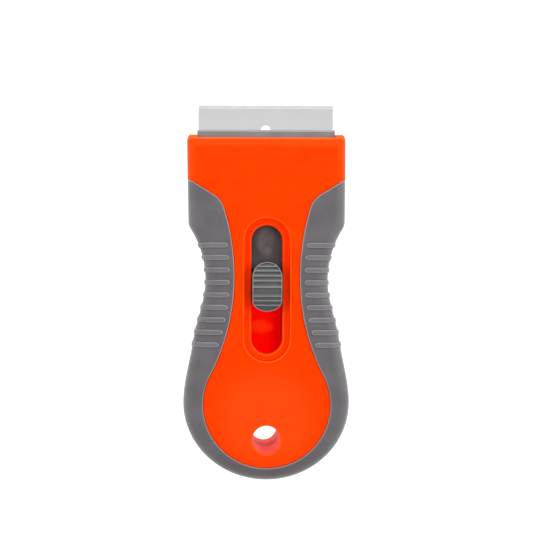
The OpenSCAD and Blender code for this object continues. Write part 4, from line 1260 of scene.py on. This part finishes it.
def swept(tree, path, scale, section):
    """Section swept along the paths, scaled by a field."""
    sweep = tree.nodes.new("GeometryNodeCurveToMesh")
    sweep.inputs["Fill Caps"].default_value = True
    tree.links.new(path, sweep.inputs["Curve"])
    tree.links.new(scale, sweep.inputs["Scale"])
    tree.links.new(section, sweep.inputs["Profile Curve"])
    return sweep.outputs["Mesh"]


print("a rounded corner takes", CORNER_STEPS, "steps")

# %% Ribs
# Painted highlights on the ribs' edges and tips, and a strip of painted shade under each rib.
RIB_SIZES = {"Width": RIB_W, "Height": 2 * RIB_H, "Round": RIB_H, "Rib paleness": 0.18, "Edge highlight": 0.75,
             "Shade width": RIB_W + 0.5, "Shade height": 0.05, "Shade round": 0.02, "Painted shade": 0.45}
SHADE_TAPER = 0.4


def rib_tree():
    """Sweeps each bar with a strip of painted shade, and paints highlights on its corners and inner tip."""
    kinds = {**dict.fromkeys(RIB_SIZES, "NodeSocketFloat"), "Material": "NodeSocketMaterial"}
    tree, names = node_tree("grip_ribs", kinds)
    n, links = tree.nodes, tree.links
    start, both = n.new("NodeGroupInput"), n.new("GeometryNodeJoinGeometry")
    path, normal = n.new("GeometryNodeMeshToCurve"), n.new("GeometryNodeSetCurveNormal")
    normal.mode = "FREE"
    links.new(start.outputs["Geometry"], path.inputs["Mesh"])
    links.new(path.outputs["Curve"], normal.inputs["Curve"])
    links.new(stored_in_tree(tree, "lie", "FLOAT_VECTOR"), normal.inputs["Normal"])
    size = start.outputs
    section, near = rounded_section(tree, size["Width"], size["Height"], size["Round"])
    section = marked(tree, section, "corner", reckon(tree, "SQRT", near))
    taper = stored_in_tree(tree, "taper")
    bars = swept(tree, normal.outputs["Curve"], taper, section)
    edge = reckon(tree, "MAXIMUM", stored_in_tree(tree, "corner"), stored_in_tree(tree, "tip"))
    edge = reckon(tree, "MULTIPLY", edge, stored_in_tree(tree, "lit_share"))
    painted_highlight = reckon(tree, "ADD", reckon(tree, "MULTIPLY", edge, size["Edge highlight"]), size["Rib paleness"])
    links.new(marked(tree, bars, "painted_highlight", painted_highlight), both.inputs["Geometry"])
    section = rounded_section(tree, size["Shade width"], size["Shade height"], size["Shade round"])[0]
    section = marked(tree, section, "deep", size["Painted shade"])
    strips = swept(tree, normal.outputs["Curve"], reckon(tree, "POWER", taper, SHADE_TAPER), section)
    links.new(strips, both.inputs["Geometry"])
    close_tree(tree, both.outputs["Geometry"], start)
    return tree, names


def face_outwards(body):
    """Turn every face of a closed mesh to look out."""
    work = bmesh.new()
    work.from_mesh(body.data)
    bmesh.ops.recalc_face_normals(work, faces=work.faces)
    work.to_mesh(body.data)
    work.free()


RIB_TREE, RIB_INPUTS = rib_tree()
for piece_name, one_rib in (("front_grip_ribs", front_rib), ("rear_grip_ribs", rear_rib)):
    ribs = rib_paths(piece_name, one_rib)
    grow(ribs, RIB_TREE, RIB_INPUTS, **RIB_SIZES, Material=GREY)
    face_outwards(ribs)
    to_metres(ribs)
    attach(ribs, "handle")
    farthest = max(v.co.x for v in ribs.data.vertices) / MM
    print(ribs.name, len(ribs.data.polygons), "faces, out to", round(farthest, 2), "mm from the middle")

# %% [markdown]
# ## Carriage and clamp
# The jaws that hold the blade are plain grey mouldings. They could be drawn again, but their CAD shapes are
# right already; only a moulded edge is never knife sharp. So a merged copy of each gets a small bevel, which
# is what catches the light along the front of the clamp, with a painted highlight there too. The tongue
# shows in the thumb slot, with a paler painted reflection along its middle. A soft oval gives the place, and
# noise breaks it up.

# %% Carriage and clamp
CARRIAGE_TONES = (0.060, 0.052, 0.053), (0.105, 0.093, 0.094)
CLAMP_TONES = (0.208, 0.210, 0.215), (0.236, 0.238, 0.243)
CARRIAGE = moulded("dark_grey_carriage", *CARRIAGE_TONES, (0.34, 0.33, 0.33), (0.05, 0.05, 0.05),
                   rough=0.40, fine=3800, depth=0.00002, specular=0.4)
CLAMP = moulded("mid_grey_clamp", *CLAMP_TONES, (0.44, 0.44, 0.45), (0.10, 0.10, 0.10),
                rough=0.42, fine=3800, depth=0.00002, specular=0.4)
TONGUE_REFLECTION = (0.215, 0.187, 0.187)
REFLECTION_PLACE = {"middle": (-0.1, 14.0, 0), "half": (3.0, 6.4, 60), "most": 0.9}
PATCH_SCALE = 300
JAW_EASE, SHEET_CREASE = 0.16, 40
CLAMP_HIGHLIGHT, CLAMP_EDGE = 0.5, 0.35


def eased_copy(node, name, bevel):
    """Merged copy of a CAD node with its edges bevelled, in metres."""
    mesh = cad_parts[node].data.copy()
    mesh.materials.clear()
    work = bmesh.new()
    work.from_mesh(mesh)
    bmesh.ops.remove_doubles(work, verts=work.verts, dist=0.000002)
    bmesh.ops.dissolve_limit(work, angle_limit=math.radians(1), verts=work.verts, edges=work.edges)
    work.to_mesh(mesh)
    work.free()
    made = bpy.data.objects.new(name, mesh)
    scene.collection.objects.link(made)
    step = made.modifiers.new("ease", "BEVEL")
    step.width, step.segments = bevel * MM, 3
    step.limit_method, step.angle_limit = "ANGLE", math.radians(30)
    apply_modifiers(made)
    smooth_shading(made, SHEET_CREASE)
    return made


def unevenly(plastic, factor):
    """A share of a tone, broken up by noise of a few millimetres."""
    nodes, links = plastic.node_tree.nodes, plastic.node_tree.links
    patchy = nodes.new("ShaderNodeMath")
    patchy.operation, patchy.use_clamp = "MULTIPLY", True
    links.new(factor, patchy.inputs[0])
    links.new(spread(nodes, links, noise(nodes, links, PATCH_SCALE, 3), 0.35, 1.25), patchy.inputs[1])
    return patchy.outputs["Value"]


# A paler painted reflection along the middle of the tongue.
blend_last(CARRIAGE, unevenly(CARRIAGE, oval(CARRIAGE, **REFLECTION_PLACE)), TONGUE_REFLECTION)
carriage = eased_copy("blade_carriage", "sliding_carriage", JAW_EASE)
carriage.data.materials.append(CARRIAGE)
hand_over(carriage, "carriage", "carriage", "blade_carriage")
clamp = eased_copy("blade_clamp", "clamp_plate", JAW_EASE)
clamp_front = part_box("blade_clamp")[1][1]
# A painted highlight along the clamp's front edge.
store(clamp, "painted_highlight", CLAMP_HIGHLIGHT * (middles_of(clamp)[:, 1] > clamp_front - CLAMP_EDGE * MM))
clamp.data.materials.append(CLAMP)
hand_over(clamp, "carriage", "clamp", "blade_clamp")

# %% [markdown]
# ## Thumb button
# The button is an oval cap with a crowned top. Its rounded border stands as high as the crosswise ridges, and
# the hollows between the ridges are scooped. Each hollow could be cut by a boolean, but then the thin crests
# would be left to chance. So the cap is a stack of its outline, and Geometry Nodes set one ridge on a row of
# points and stretch each to the outline there. The crests get painted highlights, brightest in the middle.

# %% Button cap
BUTTON_Y, BUTTON_HALF, BUTTON_LEN, BUTTON_TAIL = 1.05, 4.1, 13.7, 3.1
BUTTON_TOP, BUTTON_CROWN, BORDER_R, RIDGE_H = 18.7, 0.7, 0.2, 0.45
FLANGE_Z, FLANGE_T, FLANGE_HALF, FLANGE_LEN = 13.5, 1.1, 6.1, 6.5
CROWN_TOP, WELL_HALF, FOOT_HALF = 12.2, 4.2, 2
BUTTON_TONES = (0.076, 0.075, 0.079), (0.094, 0.093, 0.097)
BUTTON_GREY = moulded("grey_button", *BUTTON_TONES, (0.42, 0.40, 0.41), (0.04, 0.04, 0.04),
                      rough=0.38, fine=3800, depth=0.00002, specular=0.5)


def button_half(inset, n=28):
    """Right half of the button's outline from its front tip to its back tip."""
    front = np.radians(np.linspace(90, 0, n))
    back = np.radians(np.linspace(0, -90, n))
    r, tail = BUTTON_HALF - inset, BUTTON_TAIL - inset
    front_y = BUTTON_Y + BUTTON_LEN / 2 - BUTTON_HALF
    back_y = BUTTON_Y - BUTTON_LEN / 2 + BUTTON_TAIL
    side = np.column_stack([np.full(12, r), np.linspace(front_y, back_y, 14)[1:-1]])
    half = np.concatenate([np.column_stack([r * np.cos(front), front_y + r * np.sin(front)]), side,
                           np.column_stack([r * np.cos(back), back_y + tail * np.sin(back)])])
    half[[0, -1], 0] = 0
    return half


def button_outline(inset):
    """Whole outline of the button, moved in."""
    half = button_half(inset)
    return np.concatenate([half, half[-2:0:-1] * [-1, 1]])


def button_top(y):
    """Height of the crown at a place along the button."""
    return BUTTON_TOP - BUTTON_CROWN * ((y - BUTTON_Y) / (BUTTON_LEN / 2)) ** 2


def button_cap():
    """Cap with a rounded border, and inside the border a floor for the ridges to stand on."""
    rings = [level(button_outline(0), FLANGE_Z + 0.2)]
    for a in np.radians(np.linspace(0, 90, 7)):
        plan = button_outline(BORDER_R * (1 - math.cos(a)))
        rings.append(np.column_stack([plan, button_top(plan[:, 1]) - BORDER_R * (1 - math.sin(a))]))
    for inside, sink in ((0.04, 0.02), (0.08, 0.12), (0.12, 0.30), (0.16, RIDGE_H)):
        plan = button_outline(BORDER_R + inside)
        rings.append(np.column_stack([plan, button_top(plan[:, 1]) - sink]))
    half = len(button_half(0))
    n = len(rings[0])
    pairs = [(i, (n - i) % n) for i in range(half)]
    return mirrored_stack("button_cap", rings, pairs)


def join(body, *others):
    """Put other closed solids into the body's mesh."""
    work = bmesh.new()
    for part in (body, *others):
        work.from_mesh(part.data)
    work.to_mesh(body.data)
    work.free()
    for part in others:
        bpy.data.objects.remove(part)


def eased_block(name, low, high, bevel=0.15):
    """Block with a small bevel on every edge."""
    made = block(name, low, high)
    step = made.modifiers.new("ease", "BEVEL")
    step.width, step.segments = bevel, 2
    apply_modifiers(made)
    return made


button = button_cap()
flange_low = (-FLANGE_HALF, BUTTON_Y - FLANGE_LEN / 2, FLANGE_Z)
flange_high = (FLANGE_HALF, BUTTON_Y + FLANGE_LEN / 2, FLANGE_Z + FLANGE_T)
foot_low = (-WELL_HALF, BUTTON_Y - FOOT_HALF, CROWN_TOP)
foot_high = (WELL_HALF, BUTTON_Y + FOOT_HALF, FLANGE_Z + 0.5)
join(button, eased_block("flange", flange_low, flange_high), eased_block("foot", foot_low, foot_high))
print("button cap", len(button.data.polygons), "faces")

# %% Button ridges
RIDGE_PLACES, RIDGE_FLAT = (5.6, 4.36, 3.0, 1.62, -0.05, -1.28, -2.55, -3.8, -5.03), 5
RIDGE_FOOT, RIDGE_ROOT, RIDGE_INSET = 0.66, 0.3, 0.22
CREST_SHARE, FLAT_RISE, RIDGE_CREASE = 0.76, 0.3, 50


def ridge_bar():
    """One ridge, 2 mm long, with scooped flanks and a narrow rounded crest."""
    d = np.array([-RIDGE_FOOT, -0.5, -0.36, -0.25, -0.17, -0.11, -0.06, 0.0])
    h = RIDGE_H * np.clip((1 - np.abs(d) / RIDGE_FOOT) ** 2.0, 0, CREST_SHARE) / CREST_SHARE
    line = list(zip(d, h)) + list(zip(-d[-2::-1], h[-2::-1]))
    return bar_across("ridge_bar", line + [(RIDGE_FOOT, -RIDGE_ROOT), (-RIDGE_FOOT, -RIDGE_ROOT)], -1, 1)


def ridge_points():
    """Places of the ridges on the crown, with each one's half length and rise."""
    places, reach, rise = [], [], []
    outline = button_half(RIDGE_INSET)[::-1]
    for i, place in enumerate(RIDGE_PLACES):
        y = BUTTON_Y + place
        places.append((0, y, float(button_top(y)) - RIDGE_H))
        reach.append(float(np.interp(y, outline[:, 1], outline[:, 0])))
        rise.append(FLAT_RISE if i == RIDGE_FLAT else 1.0)
    mesh = bpy.data.meshes.new("button_ridges")
    mesh.from_pydata(places, [], [])
    for label, values in (("reach", reach), ("rise", rise)):
        keep_on_points(mesh, label, values)
    made = bpy.data.objects.new("button_ridges", mesh)
    scene.collection.objects.link(made)
    return made


def row_tree():
    """Sets a shape on every point, stretched across by the stored reach and up by the stored rise."""
    kinds = {"Shape": "NodeSocketObject", "Material": "NodeSocketMaterial"}
    tree, names = node_tree("row_of_ridges", kinds)
    n, links = tree.nodes, tree.links
    start, size = n.new("NodeGroupInput"), n.new("ShaderNodeCombineXYZ")
    shape, row = n.new("GeometryNodeObjectInfo"), n.new("GeometryNodeInstanceOnPoints")
    size.inputs["Y"].default_value = 1
    for label, axis in (("reach", "X"), ("rise", "Z")):
        links.new(stored_in_tree(tree, label), size.inputs[axis])
    links.new(start.outputs["Geometry"], row.inputs["Points"])
    links.new(start.outputs["Shape"], shape.inputs["Object"])
    links.new(shape.outputs["Geometry"], row.inputs["Instance"])
    links.new(size.outputs["Vector"], row.inputs["Scale"])
    close_tree(tree, row.outputs["Instances"], start)
    return tree, names


ridges, bar = ridge_points(), ridge_bar()
ROW_TREE, ROW_INPUTS = row_tree()
grow(ridges, ROW_TREE, ROW_INPUTS, Shape=bar, Material=BUTTON_GREY)
bpy.data.objects.remove(bar)
button.data.materials.append(BUTTON_GREY)
join(button, ridges)
smooth_shading(button, RIDGE_CREASE)
print("button with", len(RIDGE_PLACES), "ridges,", len(button.data.polygons), "faces")

# %% Painted highlights of the button
MIDDLE_HALF, CREST_DEPTH = 0.7, 0.12
MIDDLE_HIGHLIGHT, FRONT_HIGHLIGHT, BACK_HIGHLIGHT = 1.0, 0.8, 0.65
_, y, z = middles_of(button).T
# Painted highlights on the crests: brightest in the middle, then at the front, least at the back.
crest_light = np.where(y > BUTTON_Y, FRONT_HIGHLIGHT, BACK_HIGHLIGHT)
crest_light = np.where(np.abs(y - BUTTON_Y) < MIDDLE_HALF, MIDDLE_HIGHLIGHT, crest_light)
store(button, "painted_highlight", crest_light * (1 - (button_top(y) - z) / CREST_DEPTH))
to_metres(button)
button.name = "ridged_button"
hand_over(button, "button", "button", "thumb_button")

# %% [markdown]
# ## Screws
# Four self-tapping screws hold the halves together from the back. A primitive cone and cylinder could stand
# for one, but a turned part is best made as on a lathe: one profile, with a domed head and grooves for the
# thread, is turned about its axis, and a cross recess is cut into the head. The grooves don't climb as a true
# thread does, which never shows in a blind hole. Geometry Nodes set the screw in all four seats, each turned
# by its own angle as a driver leaves them.

# %% One screw
HEAD_R, HEAD_H, HEAD_EDGE, DOME_FOOT = 2.3, 1.8, 0.12, 0.55
SHANK_R, SHANK_LEN, CORE_R = 1.25, 9.0, 1.03
THREAD_TURNS, THREAD_START, THREAD_PITCH = 9, 1.2, 0.75
RECESS_LONG, RECESS_WIDE = 1.24, 0.36


def lathe(name, profile, n=40):
    """Profile of radius and height turned about Z; both its ends are on the axis."""
    turn = np.arange(n) * 2 * math.pi / n
    rings = [np.column_stack([r * np.cos(turn), r * np.sin(turn), np.full(n, z)]) for r, z in profile[1:-1]]
    made = np.concatenate(rings + [[(0, 0, profile[0][1]), (0, 0, profile[-1][1])]])
    low, top = len(made) - 2, len(made) - 1
    last = (len(rings) - 1) * n
    caps = [(low, (i + 1) % n, i) for i in range(n)]
    caps += [(top, last + i, last + (i + 1) % n) for i in range(n)]
    return solid(name, made, ring_faces(len(rings), n) + caps)


def screw():
    """Screw with its head down at the seat's height 0 and its point up."""
    dome = []
    for a in np.radians(np.linspace(0, 90, 10)):
        dome.append((HEAD_R * math.sin(a), -DOME_FOOT - (HEAD_H - DOME_FOOT) * math.cos(a)))
    neck = [(HEAD_R, -HEAD_EDGE), (HEAD_R - HEAD_EDGE, 0), (SHANK_R, 0), (SHANK_R, 0.8)]
    thread = []
    for k in range(THREAD_TURNS):
        z = THREAD_START + THREAD_PITCH * k
        thread += [(CORE_R, z), (CORE_R, z + 0.3), (SHANK_R, z + 0.5), (SHANK_R, z + 0.58)]
    tip = [(SHANK_R - 0.25, SHANK_LEN - 0.9), (0.25, SHANK_LEN - 0.05), (0, SHANK_LEN)]
    made = lathe("screw", [*dome, *neck, *thread, *tip])
    for x, y in ((RECESS_LONG, RECESS_WIDE), (RECESS_WIDE, RECESS_LONG)):
        cut(made, block("recess", (-x, -y, -HEAD_H - 1), (x, y, -HEAD_H * 0.4)))
    return made


one_screw = screw()
print("one screw", len(one_screw.data.polygons), "faces")

# %% Ground and plated steel


def ground_steel(name, dark, light, rough, lines, relief=0.000004):
    """Bright steel with fine lines along X: stretched noise in the tone, the roughness and the bump."""
    made, nodes, links, shader = material(name)
    tone = noise(nodes, links, lines, 3, (0.03, 1.0, 1.0))
    links.new(ramp(nodes, links, tone, [(0.3, dark), (0.7, light)]), shader.inputs["Base Color"])
    links.new(spread(nodes, links, tone, rough - 0.05, rough + 0.06), shader.inputs["Roughness"])
    shader.inputs["Metallic"].default_value = 1.0
    grain(nodes, links, shader, tone, relief, 0.25)
    return made


PLATED = ground_steel("plated_screw_steel", (0.62, 0.62, 0.62), (0.74, 0.73, 0.72), rough=0.28, lines=1500)
print("material", PLATED.name)

# %% Screws in their seats
DRIVER_SEED = 4


def screw_tree():
    """Sets a shape on every point, each turned about Z by a random angle of up to half a turn."""
    kinds = {"Shape": "NodeSocketObject", "Seed": "NodeSocketInt", "Material": "NodeSocketMaterial"}
    tree, names = node_tree("case_screw_row", kinds)
    n, links = tree.nodes, tree.links
    start, shape = n.new("NodeGroupInput"), n.new("GeometryNodeObjectInfo")
    row, turn = n.new("GeometryNodeInstanceOnPoints"), n.new("ShaderNodeCombineXYZ")
    angle = n.new("FunctionNodeRandomValue")
    angle.data_type = "FLOAT"
    angle.inputs[3].default_value = math.pi
    links.new(start.outputs["Seed"], angle.inputs["Seed"])
    links.new(angle.outputs[1], turn.inputs["Z"])
    links.new(start.outputs["Geometry"], row.inputs["Points"])
    links.new(start.outputs["Shape"], shape.inputs["Object"])
    links.new(shape.outputs["Geometry"], row.inputs["Instance"])
    links.new(turn.outputs["Vector"], row.inputs["Rotation"])
    close_tree(tree, row.outputs["Instances"], start)
    return tree, names


screw_points = bpy.data.meshes.new("case_screw_set")
screw_points.from_pydata([(x, y, SEAT_Z) for x, y in SCREW_PLACES], [], [])
screws = bpy.data.objects.new("case_screw_set", screw_points)
scene.collection.objects.link(screws)
SCREW_TREE, SCREW_INPUTS = screw_tree()
grow(screws, SCREW_TREE, SCREW_INPUTS, Shape=one_screw, Seed=DRIVER_SEED, Material=PLATED)
bpy.data.objects.remove(one_screw)
smooth_shading(screws, SHEET_CREASE)
to_metres(screws)
hand_over(screws, "handle", "screw", "case_screws")

# %% [markdown]
# ## Blade, spine and spring
# These are stamped from sheet, and the CAD solids already have their exact form: the hollow-ground face, the
# edge bevel, the slot and the notches. Blade and spine could be drawn again, but nothing would be gained, so
# they stay and only their steel changes: the blade is finely ground along its edge, and the folded spine is
# duller. The leaf spring bends when the button is pressed; here an eased copy in spring steel takes its
# place, with a mesh of its own, and does not bend.

# %% Blade and spine
EDGE_Y, EDGE_BAND, BAND_BLUR = 53.3, 1.0, 0.12
BLADE_TONES, BEVEL_REFLECTION_TONE = ((0.800, 0.800, 0.800), (0.815, 0.815, 0.815)), (0.98, 0.98, 0.98)
SPINE_TONES = (0.36, 0.36, 0.37), (0.46, 0.46, 0.47)


def blade_steel():
    """Evenly ground steel, with a painted brighter reflection on the bevel along the cutting edge."""
    made = ground_steel("ground_blade_steel", *BLADE_TONES, rough=0.32, lines=9000, relief=0.0000004)
    nodes, links = made.node_tree.nodes, made.node_tree.links
    place, axes = nodes.new("ShaderNodeTexCoord"), nodes.new("ShaderNodeSeparateXYZ")
    band = nodes.new("ShaderNodeMapRange")
    band.inputs["From Min"].default_value = (EDGE_Y - EDGE_BAND - BAND_BLUR) * MM
    band.inputs["From Max"].default_value = (EDGE_Y - EDGE_BAND + BAND_BLUR) * MM
    links.new(place.outputs["Object"], axes.inputs["Vector"])
    links.new(axes.outputs["Y"], band.inputs["Value"])
    # A painted brighter reflection on the edge bevel.
    blend_last(made, band.outputs["Result"], BEVEL_REFLECTION_TONE)
    return made


STEELS = {"razor_blade": blade_steel(),
          "blade_spine": ground_steel("rolled_spine_steel", *SPINE_TONES, rough=0.42, lines=1200)}
for node, steel in STEELS.items():
    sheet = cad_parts[node]
    sheet.data.materials.clear()
    sheet.data.materials.append(steel)
    print(node, "in", steel.name)

# %% Lock spring
WELL_FLOOR, PRESS, SPRING_EASE = 7.2, 1.0, 0.03
SPRING_TONES = (0.60, 0.60, 0.61), (0.72, 0.72, 0.73)
spring = eased_copy("lock_spring", "leaf_spring", SPRING_EASE)
spring.data.materials.append(ground_steel("spring_steel", *SPRING_TONES, rough=0.24, lines=1800))
hand_over(spring, "carriage", "spring", "lock_spring")
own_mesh(spring)
print("spring", len(spring.data.polygons), "faces")

# %% [markdown]
# ## Finish

# %% Finish
print("scene built")
